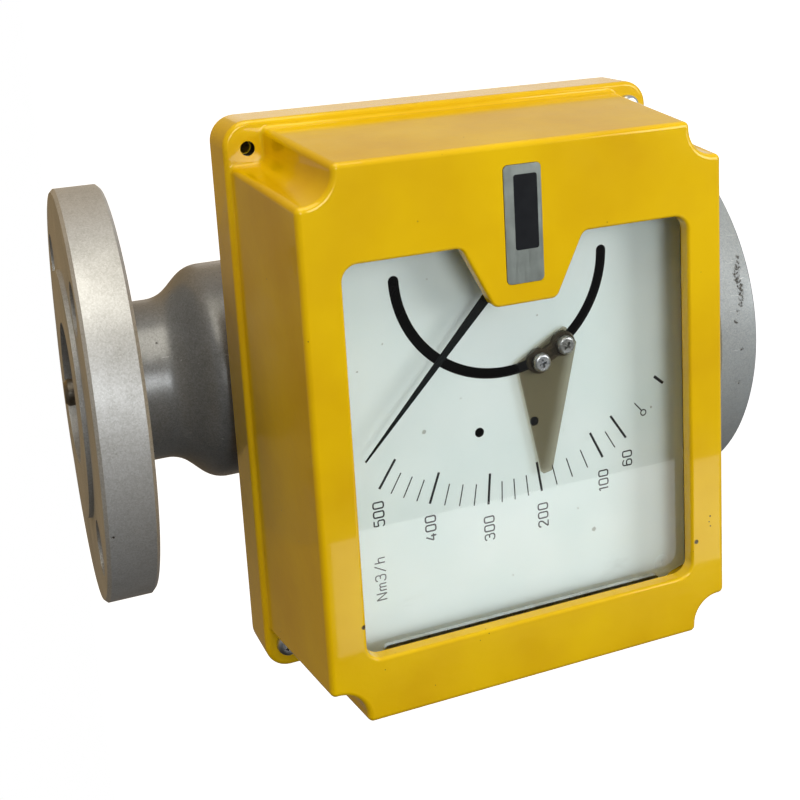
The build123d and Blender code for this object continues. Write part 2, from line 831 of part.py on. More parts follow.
# Cable gland, closed by a plug
with BuildPart() as cable_gland:
    with BuildSketch(entry_plane):
        RegularPolygon(radius=gland_flange_diameter / 2, side_count=6)
    extrude(amount=gland_flange_height)
    with BuildSketch(entry_plane):
        Circle(entry_bore_diameter / 2)
    extrude(amount=gland_flange_height + gland_neck_height)
    with BuildSketch(entry_plane):
        Circle(entry_bore_diameter / 2)
    extrude(amount=-entry_bore_depth)
    with BuildSketch(entry_plane.offset(gland_flange_height + gland_neck_height)):
        Circle(gland_plug_diameter / 2)
    extrude(amount=-(gland_flange_height + gland_neck_height + entry_bore_depth), mode=Mode.SUBTRACT)

with BuildPart() as gland_nut:
    with BuildSketch(entry_plane.offset(gland_flange_height)):
        RegularPolygon(radius=gland_nut_diameter / 2, side_count=6)
    extrude(amount=gland_nut_height)
    with BuildSketch(entry_plane.offset(gland_flange_height)):
        Circle(entry_bore_diameter / 2)
    extrude(amount=gland_neck_height, mode=Mode.SUBTRACT)
    with BuildSketch(entry_plane.offset(gland_flange_height)):
        Circle(gland_plug_diameter / 2)
    extrude(amount=gland_nut_height, mode=Mode.SUBTRACT)
    fillet(gland_nut.faces().sort_by(Axis.Z)[0].edges(), radius=tray_round)

with BuildPart() as gland_plug:
    with BuildSketch(entry_plane.offset(gland_flange_height)):
        Circle(gland_plug_diameter / 2)
    extrude(amount=gland_nut_height - tray_round)

# Saddles: blocks seated on the tube, on which the back case is screwed
with BuildPart() as saddles:
    with BuildSketch(case_plane(case_depth)):
        with Locations((-case_x, -saddle_spacing / 2), (-case_x, saddle_spacing / 2)):
            RectangleRounded(saddle_width, saddle_height, tray_round)
    extrude(amount=-saddle_thickness)
    with BuildSketch(Plane.XY.offset(reducer_top)):
        Circle(tube_radius)
    extrude(amount=face_to_face - 2 * reducer_top, mode=Mode.SUBTRACT)
    with BuildSketch(case_plane(case_depth)):
        with Locations(*saddle_points):
            Circle(saddle_screw_diameter / 2)
    extrude(amount=-saddle_screw_depth, mode=Mode.SUBTRACT)

saddle_screws = pan_screws(
    case_plane(floor_depth), saddle_points, saddle_head_diameter, saddle_head_height,
    saddle_screw_diameter, tray_floor + saddle_screw_depth - slide_gap,
)

# Screws of the cover: the one at the upper right of the dial is missing
cover_screw_points = [point for point in corner_points if point != (cover_screw_x, cover_screw_z)]
cover_screws = pan_screws(
    case_plane(body_depth), cover_screw_points, cover_head_diameter, cover_head_height,
    cover_screw_diameter, cover_screw_length,
)

# Screws of the clamp strips, put in from behind
clamp_screws = pan_screws(
    rear_facing_plane(clamp_depth + clamp_thickness), [(x, -z) for x, z in clamp_points],
    clamp_head_diameter, clamp_head_height, clamp_screw_diameter,
    clamp_thickness + glass_thickness - slide_gap,
)

# Scale plate with its arc slot, on four posts
with BuildPart() as scale_plate:
    with BuildSketch(case_plane(dial_depth)):
        RectangleRounded(2 * dial_half_width, 2 * dial_half_height, dial_corner_radius)
        with Locations(*dial_points):
            Circle(dial_screw_diameter / 2 + running_gap, mode=Mode.SUBTRACT)
        with Locations((dot_hole_x, dot_hole_z), (dot_hole_x, -dot_hole_z)):
            Circle(dot_hole_diameter / 2, mode=Mode.SUBTRACT)
        with Locations((pivot_x, 0)):
            Circle(dial_spindle_hole / 2, mode=Mode.SUBTRACT)
    extrude(amount=-dial_thickness)
    cap_turn = math.degrees(slot_width / 2 / slot_radius)
    slot_sweep = slot_to - slot_from - 2 * cap_turn
    with BuildSketch(pivot_plane(dial_depth)):
        with BuildLine():
            outer_arc = CenterArc((0, 0), slot_radius + slot_width / 2, slot_from + cap_turn, slot_sweep)
            inner_arc = CenterArc((0, 0), slot_radius - slot_width / 2, slot_from + cap_turn, slot_sweep)
            Line(outer_arc @ 0, inner_arc @ 0)
            Line(outer_arc @ 1, inner_arc @ 1)
        make_face()
        with Locations((outer_arc @ 0 + inner_arc @ 0) / 2, (outer_arc @ 1 + inner_arc @ 1) / 2):
            Circle(slot_width / 2)
    extrude(amount=-dial_thickness, mode=Mode.SUBTRACT)

scale_posts = round_posts(
    case_plane(dial_back), dial_points, dial_post_diameter, floor_depth - dial_back, dial_screw_diameter
)
scale_screws = pan_screws(
    case_plane(dial_depth), dial_points, dial_head_diameter, dial_head_height, dial_screw_diameter,
    dial_screw_length,
)

# Bearing frame: two plates on posts, with a flanged bush in each
with BuildPart() as front_plate:
    with BuildSketch(pivot_plane(front_plate_depth)):
        with Locations(((front_plate_left + plate_right) / 2, 0)):
            RectangleRounded(plate_right - front_plate_left, 2 * plate_half_height, plate_corner_radius)
        Circle(plate_nose_radius)
        Circle(bush_diameter / 2, mode=Mode.SUBTRACT)
        with Locations(*frame_points):
            Circle(frame_screw_diameter / 2 + running_gap, mode=Mode.SUBTRACT)
    extrude(amount=-plate_thickness)

with BuildPart() as rear_plate:
    with BuildSketch(pivot_plane(rear_plate_depth)):
        with Locations(((plate_left + plate_right) / 2, 0)):
            RectangleRounded(plate_right - plate_left, 2 * plate_half_height, plate_corner_radius)
        Circle(bush_diameter / 2, mode=Mode.SUBTRACT)
        with Locations(*frame_points):
            Circle(frame_screw_diameter / 2 + running_gap, mode=Mode.SUBTRACT)
    extrude(amount=-plate_thickness)

front_posts = round_posts(
    pivot_plane(front_plate_back), frame_points, frame_post_diameter,
    rear_plate_depth - front_plate_back, frame_screw_diameter,
)
rear_posts = round_posts(
    pivot_plane(rear_plate_back), frame_points, frame_post_diameter,
    floor_depth - rear_plate_back, frame_screw_diameter,
)
frame_screws = pan_screws(
    pivot_plane(front_plate_depth), frame_points, frame_head_diameter, frame_head_height,
    frame_screw_diameter, frame_screw_length,
)

# The front bush has a long nose that the set-point arm turns on
with BuildPart() as front_bush:
    with BuildSketch(pivot_plane(nose_depth)):
        Circle(nose_diameter / 2)
    extrude(amount=nose_depth - front_plate_depth)
    with BuildSketch(pivot_plane(front_plate_depth)):
        Circle(bush_diameter / 2)
    extrude(amount=-plate_thickness)
    with BuildSketch(pivot_plane(nose_depth)):
        Circle(spindle_diameter / 2 + running_gap)
    extrude(amount=nose_depth - front_plate_back, mode=Mode.SUBTRACT)
    with BuildSketch(pivot_plane(switch_arm_depth - running_gap)):
        Circle(nose_diameter / 2)
        Circle(nose_diameter / 2 - clip_groove, mode=Mode.SUBTRACT)
    extrude(amount=arm_clip_thickness, mode=Mode.SUBTRACT)

with BuildPart() as rear_bush:
    with BuildSketch(pivot_plane(rear_plate_depth)):
        Circle(bush_diameter / 2)
    extrude(amount=-plate_thickness)
    with BuildSketch(pivot_plane(rear_plate_back)):
        Circle(bush_flange_diameter / 2)
    extrude(amount=-bush_flange_height)
    with BuildSketch(pivot_plane(rear_plate_depth)):
        Circle(spindle_diameter / 2 + running_gap)
    extrude(amount=-(plate_thickness + bush_flange_height), mode=Mode.SUBTRACT)

# Pointer group, which turns with the spindle
with BuildPart() as spindle:
    with BuildSketch(pivot_plane(spindle_front)):
        Circle(spindle_diameter / 2)
    extrude(amount=spindle_front - spindle_back)

with BuildPart() as pointer_hub:
    with BuildSketch(pivot_plane(pointer_depth)):
        Circle(pointer_hub_diameter / 2)
    extrude(amount=pointer_depth - pointer_hub_depth)
    with BuildSketch(pivot_plane(pointer_depth + pointer_thickness)):
        Circle(pointer_hub_diameter / 2)
    extrude(amount=-pointer_hub_back)
    with BuildSketch(pivot_plane(pointer_depth)):
        Circle(pointer_hub_diameter / 2 - pointer_hub_wall)
    extrude(amount=-pointer_thickness)
    with BuildSketch(pivot_plane(spindle_front)):
        Circle(spindle_diameter / 2)
    extrude(amount=spindle_front - spindle_back, mode=Mode.SUBTRACT)

with BuildPart() as pointer:
    with BuildSketch(pivot_plane(pointer_depth, pointer_angle)):
        with BuildLine():
            Polyline(
                (-pointer_tail, pointer_root_width / 2),
                (0, pointer_root_width / 2),
                (pointer_reach, pointer_tip_width / 2),
                (pointer_reach, -pointer_tip_width / 2),
                (0, -pointer_root_width / 2),
                (-pointer_tail, -pointer_root_width / 2),
                close=True,
            )
        make_face()
        Circle(pointer_hub_diameter / 2)
        Circle(pointer_hub_diameter / 2 - pointer_hub_wall, mode=Mode.SUBTRACT)
    extrude(amount=-pointer_thickness)

with BuildPart() as follower_arm:
    with BuildSketch(pivot_plane(follower_depth, pointer_angle)):
        with Locations(((follower_radius - follower_tail) / 2, 0)):
            Rectangle(follower_radius + follower_tail, follower_width)
        with Locations((-counterweight_radius, 0)):
            Circle(counterweight_diameter / 2)
    extrude(amount=-follower_thickness)
    with BuildSketch(pivot_plane(follower_depth)):
        Circle(follower_hub_diameter / 2)
    extrude(amount=follower_hub_height)
    with BuildSketch(pivot_plane(follower_depth - follower_hub_height)):
        Circle(spindle_diameter / 2)
    extrude(amount=-(follower_hub_height + follower_thickness), mode=Mode.SUBTRACT)

with BuildPart() as follower_magnet:
    with BuildSketch(pivot_plane(follower_depth + follower_thickness, pointer_angle)):
        with Locations((follower_radius, 0)):
            Rectangle(follower_magnet_width, follower_magnet_length)
    extrude(amount=-follower_magnet_height)

with BuildPart() as counterweight:
    with BuildSketch(pivot_plane(follower_depth + follower_thickness, pointer_angle)):
        with Locations((-counterweight_radius, 0)):
            Circle(counterweight_diameter / 2)
    extrude(amount=-counterweight_height)

with BuildPart() as damping_disc:
    with BuildSketch(pivot_plane(damping_disc_depth)):
        Circle(damping_disc_radius)
    extrude(amount=-damping_disc_thickness)
    with BuildSketch(pivot_plane(damping_disc_depth + damping_hub_height)):
        Circle(damping_hub_diameter / 2)
    extrude(amount=damping_hub_height)
    with BuildSketch(pivot_plane(damping_disc_depth + damping_hub_height)):
        Circle(spindle_diameter / 2)
    extrude(amount=damping_hub_height, mode=Mode.SUBTRACT)

with BuildPart() as switch_vane:
    with BuildSketch(pivot_plane(vane_depth, pointer_angle)):
        with BuildLine():
            rim = CenterArc((0, 0), vane_radius, -vane_half_angle, 2 * vane_half_angle)
            Polyline(rim @ 1, (0, 0), rim @ 0)
        make_face()
        Circle(vane_hub_diameter / 2)
    extrude(amount=-vane_thickness)
    with BuildSketch(pivot_plane(vane_depth + vane_hub_height)):
        Circle(vane_hub_diameter / 2)
    extrude(amount=vane_hub_height)
    with BuildSketch(pivot_plane(vane_depth + vane_hub_height)):
        Circle(spindle_diameter / 2)
    extrude(amount=vane_hub_height, mode=Mode.SUBTRACT)

# Damping magnet: a yoke on the rear plate whose slot the disc runs through
with BuildPart() as damping_magnet:
    with BuildSketch(pivot_plane(rear_plate_depth)):
        with Locations(((yoke_inner + yoke_outer) / 2, 0)):
            Rectangle(yoke_outer - yoke_inner, yoke_width)
    extrude(amount=rear_plate_depth - yoke_front)
    with BuildSketch(pivot_plane(yoke_slot_front)):
        with Locations(((yoke_inner + yoke_slot_outer) / 2, 0)):
            Rectangle(yoke_slot_outer - yoke_inner, yoke_width)
    extrude(amount=-yoke_slot_height, mode=Mode.SUBTRACT)

# Set-point group: arm and proximity switch behind the scale plate, marker plate in front of it
set_screw_points = [
    (
        slot_radius * math.cos(math.radians(side * set_screw_half_angle)),
        slot_radius * math.sin(math.radians(side * set_screw_half_angle)),
    )
    for side in (-1, 1)
]
with BuildPart() as switch_arm:
    with BuildSketch(pivot_plane(switch_arm_depth, set_point_angle)):
        with BuildLine():
            Polyline(
                (0, switch_arm_root_width / 2),
                (switch_arm_reach, switch_arm_tip_width / 2),
                (switch_arm_reach, -switch_arm_tip_width / 2),
                (0, -switch_arm_root_width / 2),
                close=True,
            )
        make_face()
        Circle(switch_arm_hub_diameter / 2)
        Circle(nose_diameter / 2 + running_gap, mode=Mode.SUBTRACT)
        with Locations(*set_screw_points):
            Circle(set_screw_diameter / 2, mode=Mode.SUBTRACT)
    extrude(amount=-switch_arm_thickness)

with BuildPart() as arm_clip:
    with BuildSketch(pivot_plane(switch_arm_depth - running_gap)):
        Circle(arm_clip_diameter / 2)
        Circle(nose_diameter / 2 - clip_groove, mode=Mode.SUBTRACT)
        with Locations((arm_clip_diameter / 2, 0)):
            Rectangle(arm_clip_diameter / 2, arm_clip_mouth, mode=Mode.SUBTRACT)
    extrude(amount=arm_clip_thickness)

with BuildPart() as proximity_switch:
    with BuildSketch(pivot_plane(switch_arm_back, set_point_angle)):
        with Locations(((sensor_inner_radius + sensor_outer_radius) / 2, 0)):
            Rectangle(sensor_outer_radius - sensor_inner_radius, sensor_width)
    extrude(amount=-sensor_depth)
    with BuildSketch(pivot_plane(sensor_slot_front, set_point_angle)):
        with Locations(((sensor_inner_radius + sensor_slot_reach) / 2, 0)):
            Rectangle(sensor_slot_reach - sensor_inner_radius, sensor_width)
    extrude(amount=-sensor_slot_height, mode=Mode.SUBTRACT)

marker_corners = [
    (radius * math.cos(math.radians(angle)), radius * math.sin(math.radians(angle)))
    for radius, angle in (
        (marker_high_root_radius, marker_high_root_angle),
        (marker_high_shoulder_radius, marker_high_shoulder_angle),
        (marker_tip_radius, marker_tip_high_angle),
        (marker_tip_radius, marker_tip_low_angle),
        (marker_low_shoulder_radius, marker_low_shoulder_angle),
        (marker_low_root_radius, marker_low_root_angle),
    )
]
with BuildPart() as set_point_plate:
    with BuildSketch(pivot_plane(set_plate_depth, set_point_angle)):
        with BuildLine():
            Polyline(*marker_corners, close=True)
        outline = make_face()
        fillet(outline.vertices(), radius=marker_corner_radius)
        with Locations(*set_screw_points):
            Circle(set_screw_diameter / 2, mode=Mode.SUBTRACT)
    extrude(amount=-set_plate_thickness)

with BuildPart() as set_point_clamp:
    with BuildSketch(pivot_plane(set_plate_depth + set_plate_thickness, set_point_angle)):
        with Locations(*set_screw_points):
            Circle(set_clamp_end_diameter / 2)
        with Locations((set_screw_points[0][0], 0)):
            Rectangle(set_clamp_neck_width, 2 * set_screw_points[1][1])
        with Locations(*set_screw_points):
            Circle(set_screw_diameter / 2, mode=Mode.SUBTRACT)
    extrude(amount=-set_clamp_thickness)

set_point_screws = pan_screws(
    pivot_plane(set_plate_depth, set_point_angle), set_screw_points, set_head_diameter,
    set_head_height, set_screw_diameter, switch_arm_back - set_plate_depth,
)

# Terminal block on the floor of the back case
with BuildPart() as terminal_block:
    with BuildSketch(case_plane(floor_depth)):
        with Locations((terminal_x, terminal_z)):
            RectangleRounded(terminal_length, terminal_width, clamp_thickness)
    extrude(amount=terminal_height)
    with BuildSketch(case_plane(floor_depth - terminal_height)):
        with Locations((terminal_x, terminal_z)):
            with GridLocations(terminal_pitch, 0, terminal_count, 1):
                Circle(terminal_hole_diameter / 2)
    extrude(amount=-terminal_hole_depth, mode=Mode.SUBTRACT)

terminal_points = [
    (terminal_x + (i - (terminal_count - 1) / 2) * terminal_pitch, terminal_z)
    for i in range(terminal_count)
]
terminal_screws = pan_screws(
    case_plane(floor_depth - terminal_height + terminal_hole_depth / 2), terminal_points,
    terminal_head_diameter, terminal_head_height, terminal_screw_diameter,
    terminal_hole_depth / 2,
)

pieces = {
    "inlet_flange": inlet_flange,
    "outlet_flange": outlet_flange,
    "measuring_tube": measuring_tube,
    "metering_cone": metering_cone,
    "guide_rod": guide_rod,
    "inlet_spider": inlet_spider,
    "outlet_spider": outlet_spider,
    "guide_rod_nuts": guide_rod_nuts,
    "inlet_retaining_ring": inlet_retaining_ring,
    "outlet_retaining_ring": outlet_retaining_ring,
    "float_body": float_body,
    "float_cap": float_cap,
    "float_magnet": float_magnet,
    "upper_stop": upper_stop,
    "lower_stop": lower_stop,
    "front_cover": front_cover,
    "nameplate": nameplate,
    "window_seal": window_seal,
    "window_glass": window_glass,
    "window_clamps": window_clamps,
    "clamp_screws": clamp_screws,
    "cover_gasket": cover_gasket,
    "cover_screws": cover_screws,
    "back_case": back_case,
    "cable_gland": cable_gland,
    "gland_nut": gland_nut,
    "gland_plug": gland_plug,
    "saddles": saddles,
    "saddle_screws": saddle_screws,
    "scale_plate": scale_plate,
    "scale_posts": scale_posts,
    "scale_screws": scale_screws,
    "front_plate": front_plate,
    "rear_plate": rear_plate,
    "front_posts": front_posts,
    "rear_posts": rear_posts,
    "frame_screws": frame_screws,
    "front_bush": front_bush,
    "rear_bush": rear_bush,
    "spindle": spindle,
    "pointer_hub": pointer_hub,
    "pointer": pointer,
    "follower_arm": follower_arm,
    "follower_magnet": follower_magnet,
    "counterweight": counterweight,
    "damping_disc": damping_disc,
    "damping_magnet": damping_magnet,
    "switch_vane": switch_vane,
    "switch_arm": switch_arm,
    "arm_clip": arm_clip,
    "proximity_switch": proximity_switch,
    "set_point_plate": set_point_plate,
    "set_point_clamp": set_point_clamp,
    "set_point_screws": set_point_screws,
    "terminal_block": terminal_block,
    "terminal_screws": terminal_screws,
}
os.makedirs("parts", exist_ok=True)
for name, piece in pieces.items():
    piece.part.label = name
    export_step(piece.part, f"parts/{name}.step")
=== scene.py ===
import bmesh
import bpy
import logging
import math
from collections.abc import Callable, Iterable, Sequence
from dataclasses import dataclass
from enum import Enum
from mathutils import Matrix, Vector


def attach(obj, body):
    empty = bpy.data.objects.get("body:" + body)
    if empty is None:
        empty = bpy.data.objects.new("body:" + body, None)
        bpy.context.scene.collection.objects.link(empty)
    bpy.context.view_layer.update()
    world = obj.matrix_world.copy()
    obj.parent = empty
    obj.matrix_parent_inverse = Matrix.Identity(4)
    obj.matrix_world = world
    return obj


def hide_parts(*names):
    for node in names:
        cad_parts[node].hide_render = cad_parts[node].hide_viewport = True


# Dresses the flow meter: the finishes of its parts, the print on its dial, its screws and the studio.
# Sizes and places are in millimetres in the CAD model's frame, and are scaled where a mesh is made.

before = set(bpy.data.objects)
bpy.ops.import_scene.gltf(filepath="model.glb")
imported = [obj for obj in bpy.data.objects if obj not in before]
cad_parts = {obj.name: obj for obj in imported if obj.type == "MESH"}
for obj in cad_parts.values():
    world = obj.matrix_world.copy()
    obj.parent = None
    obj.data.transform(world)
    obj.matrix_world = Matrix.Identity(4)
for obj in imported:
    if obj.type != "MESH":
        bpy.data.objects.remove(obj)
log = logging.getLogger("flow_meter")

MM = 0.001

# The cover's front, the dial's face, the case's middle, the pivot, and the cover's ears from the middle.
FRONT_Y = -118.6
DIAL_Y = -101.4
CASE_X = 6.3
CASE_Z = 120.4
PIVOT_X = 53.15
EAR_X = 86.8
EAR_Z = 70.1
EAR_HOLE = 3.2

# The backs of the two flange discs, the depth of the case's rim and how far ink stands on the dial.
NECK_LOW = 19.12
NECK_HIGH = 230.88
RIM_DEPTH = 3.0
INK_RELIEF = 0.12

# A face or edge looks along an axis if its direction has more than LOOKS_ALONG of it, and a face stands
# side on to the axis if its normal has less than SIDE_ON of it.
LOOKS_ALONG = 0.7
SIDE_ON = 0.5

Colour = tuple[float, float, float]
Place = tuple[float, float, float]
Spot = tuple[float, float, float, float]
Socket = bpy.types.NodeSocket
Piece = bpy.types.Object
Material = bpy.types.Material


def shade(red: int, green: int, blue: int) -> Colour:
    """Linear colour of a screen colour.

    Args:
        red, green, blue: the screen colour, each from 0 to 255.

    Returns:
        The same colour as a shader takes it.
    """

    def linear(value: int) -> float:
        """One channel, from screen to linear."""
        level = value / 255
        return level / 12.92 if level <= 0.04045 else ((level + 0.055) / 1.055) ** 2.4

    return linear(red), linear(green), linear(blue)


def metres(place: Sequence[float]) -> Vector:
    """A place in millimetres as a vector in metres."""
    return Vector(place) * MM


def math_step(
    tree: bpy.types.NodeTree, kind: str, operation: str, inputs: Sequence, output: str = "Value"
) -> Socket:
    """Adds one math node to a node tree.

    Args:
        tree: the node tree.
        kind: "Math" or "VectorMath".
        operation: what the node does, such as ADD.
        inputs: patterns or plain values for its inputs, in their order.
        output: which of its outputs is used.

    Returns:
        That output.
    """
    node = tree.nodes.new(f"ShaderNode{kind}")
    node.operation = operation
    for socket, value in zip(node.inputs, inputs):
        if isinstance(value, Socket):
            tree.links.new(value, socket)
        else:
            socket.default_value = value
    return node.outputs[output]


class Surface:
    """Node tree of one finish: a Principled shader and the patterns that drive it.

    Attributes:
        wander_grain: size of the bends in a mark's edge, in millimetres.
        full_share: share of a mark's radius inside which it is at full strength.
    """

    wander_grain = 0.8
    full_share = 0.7

    def __init__(self, name: str) -> None:
        """Makes the empty material.

        Args:
            name: the finish's name.
        """
        self.material = bpy.data.materials.new(name)
        self.material.use_nodes = True
        tree = self.material.node_tree
        self.nodes = tree.nodes
        self.links = tree.links
        self.nodes.clear()
        self.output = self.nodes.new("ShaderNodeOutputMaterial")
        self.shader = self.nodes.new("ShaderNodeBsdfPrincipled")
        self.links.new(self.shader.outputs["BSDF"], self.output.inputs["Surface"])
        self.position = self.nodes.new("ShaderNodeTexCoord").outputs["Object"]

    def set(self, **values: float | Colour) -> None:
        """Sets plain values on the shader's sockets.

        Args:
            values: socket names with underscores for spaces, and their values.
        """
        for name, value in values.items():
            socket = self.shader.inputs[name.replace("_", " ")]
            socket.default_value = (*value, 1.0) if isinstance(value, tuple) else value

    def drive(self, name: str, source: Socket) -> None:
        """Links a pattern to one of the shader's sockets."""
        self.links.new(source, self.shader.inputs[name])

    def stretched(self, scale: Place, turn: Place = (0.0, 0.0, 0.0)) -> Socket:
        """Object coordinates stretched along the axes.

        Args:
            scale: how much each axis is scaled.
            turn: how far the axes are turned first, in degrees.

        Returns:
            The mapped coordinates.
        """
        mapping = self.nodes.new("ShaderNodeMapping")
        mapping.inputs["Scale"].default_value = scale
        mapping.inputs["Rotation"].default_value = [math.radians(angle) for angle in turn]
        self.links.new(self.position, mapping.inputs["Vector"])
        return mapping.outputs["Vector"]

    def noise(
        self, grain: float, detail: float = 2.0, rough: float = 0.5, along: Socket | None = None
    ) -> Socket:
        """A cloudy pattern.

        Args:
            grain: size of its features in millimetres.
            detail: how many finer layers it has.
            rough: how strong the finer layers are.
            along: the coordinates it lies on, or None for the object's own.

        Returns:
            The pattern's value, from 0 to 1.
        """
        texture = self.nodes.new("ShaderNodeTexNoise")
        texture.inputs["Scale"].default_value = 1 / (grain * MM)
        texture.inputs["Detail"].default_value = detail
        texture.inputs["Roughness"].default_value = rough
        self.links.new(along or self.position, texture.inputs["Vector"])
        return texture.outputs["Fac"]

    def cells(self, grain: float) -> bpy.types.Node:
        """A cell pattern with one random colour in each cell.

        Args:
            grain: size of a cell in millimetres.

        Returns:
            The texture node, with its Distance and Color outputs.
        """
        texture = self.nodes.new("ShaderNodeTexVoronoi")
        texture.inputs["Scale"].default_value = 1 / (grain * MM)
        self.links.new(self.position, texture.inputs["Vector"])
        return texture

    def levels(
        self, source: Socket, low: float, high: float, to_low: float = 0.0, to_high: float = 1.0
    ) -> Socket:
        """Stretches part of a pattern's range over another range, cut off at its ends.

        Args:
            source: the pattern.
            low, high: the part of its range that is used.
            to_low, to_high: what those become.

        Returns:
            The stretched pattern.
        """
        node = self.nodes.new("ShaderNodeMapRange")
        for name, value in (("From Min", low), ("From Max", high), ("To Min", to_low), ("To Max", to_high)):
            node.inputs[name].default_value = value
        self.links.new(source, node.inputs["Value"])
        return node.outputs["Result"]

    def combine(self, kind: str, first: Socket, second: Socket) -> Socket:
        """Two patterns combined by a math operation, such as ADD, MULTIPLY or MAXIMUM."""
        return math_step(self.material.node_tree, "Math", kind, (first, second))

    def blend(self, share: Socket, under: Colour | Socket, over: Colour | Socket) -> Socket:
        """A colour that goes from one to another with a pattern.

        Args:
            share: how much of the second colour shows.
            under: the first colour, or the pattern that gives it.
            over: the second colour, or the pattern that gives it.

        Returns:
            The blended colour.
        """
        node = self.nodes.new("ShaderNodeMix")
        node.data_type = "RGBA"
        self.links.new(share, node.inputs["Factor"])
        for socket, value in ((node.inputs[6], under), (node.inputs[7], over)):
            if isinstance(value, tuple):
                socket.default_value = (*value, 1.0)
            else:
                self.links.new(value, socket)
        return node.outputs[2]

    def spots(self, spots: Iterable[Spot], ragged: float = 0.3) -> Socket:
        """Small ragged marks at given places.

        Args:
            spots: each mark's place and radius in millimetres.
            ragged: how far a mark's edge wanders, as a share of a millimetre.

        Returns:
            A mask that is 1 on the marks.
        """
        tree = self.material.node_tree
        wander = self.nodes.new("ShaderNodeTexNoise")
        wander.inputs["Scale"].default_value = 1 / (self.wander_grain * MM)
        self.links.new(self.position, wander.inputs["Vector"])
        shift = (wander.outputs["Color"], (ragged * MM,) * 3, self.position)
        shifted = math_step(tree, "VectorMath", "MULTIPLY_ADD", shift, "Vector")
        half = ragged / 2
        mask: Socket | None = None
        for x, y, z, radius in spots:
            centre = metres((x + half, y + half, z + half))
            distance = math_step(tree, "VectorMath", "DISTANCE", (shifted, centre))
            one = self.levels(distance, self.full_share * radius * MM, radius * MM, 1.0, 0.0)
            mask = one if mask is None else self.combine("MAXIMUM", mask, one)
        return mask

    def bump(self, height: Socket, depth: float, under: Socket | None = None) -> Socket:
        """A relief made from a pattern.

        Args:
            height: the pattern.
            depth: how far its 0 lies under its 1, in millimetres.
            under: another relief that it lies on.

        Returns:
            The relief's normal.
        """
        node = self.nodes.new("ShaderNodeBump")
        node.inputs["Distance"].default_value = depth * MM
        self.links.new(height, node.inputs["Height"])
        if under is not None:
            self.links.new(under, node.inputs["Normal"])
        return node.outputs["Normal"]


@dataclass(frozen=True)
class CastPaint:
    """Thick glossy paint on a rough casting: orange peel, dust under the paint and chips."""

    name: str = "cast_paint"
    colour: Colour = shade(228, 186, 0)
    deep: Colour = shade(214, 168, 0)
    grime: Colour = shade(112, 84, 18)
    bare: Colour = shade(70, 56, 34)
    cloud_grain: float = 38.0
    dust_grain: float = 3.4
    gloss_grain: float = 9.0
    peel_grain: float = 2.3
    peel_depth: float = 0.05
    wave_grain: float = 14.0
    wave_depth: float = 0.12
    chip_depth: float = 0.15
    chips: tuple[Spot, ...] = (
        (-48.6, -118.5, 179.3, 0.9),
        (-55.3, -118.6, 176.9, 0.5),
        (90.7, -118.6, 191.2, 0.9),
        (-48.4, -118.6, 60.7, 0.9),
        (-40.3, -118.6, 55.2, 0.35),
        (-42.3, -118.6, 55.6, 0.3),
        (-43.9, -118.6, 55.1, 0.3),
    )

    def material(self) -> Material:
        """Builds the finish."""
        paint = Surface(self.name)
        cloud = paint.levels(paint.noise(self.cloud_grain, 3.0), 0.35, 0.7)
        tone = paint.blend(cloud, self.colour, self.deep)
        dust = paint.levels(paint.cells(self.dust_grain).outputs["Distance"], 0.03, 0.07, 1.0, 0.0)
        rare = paint.levels(paint.noise(16.0, 1.0), 0.6, 0.64)
        specks = paint.combine("MULTIPLY", dust, rare)
        marks = paint.combine("MAXIMUM", paint.spots(self.chips), paint.levels(specks, 0.0, 1.0, 0.0, 0.55))
        paint.drive("Base Color", paint.blend(marks, paint.blend(specks, tone, self.grime), self.bare))
        paint.drive("Roughness", paint.levels(paint.noise(self.gloss_grain, 4.0), 0.3, 0.75, 0.14, 0.24))
        paint.set(Specular_IOR_Level=0.4, Specular_Tint=(1.0, 0.82, 0.25))
        paint.set(Coat_Weight=0.5, Coat_Roughness=0.03)
        peel = paint.bump(paint.noise(self.peel_grain), self.peel_depth)
        waves = paint.bump(paint.noise(self.wave_grain), self.wave_depth, peel)
        paint.drive("Normal", paint.bump(marks, -self.chip_depth, waves))
        return paint.material


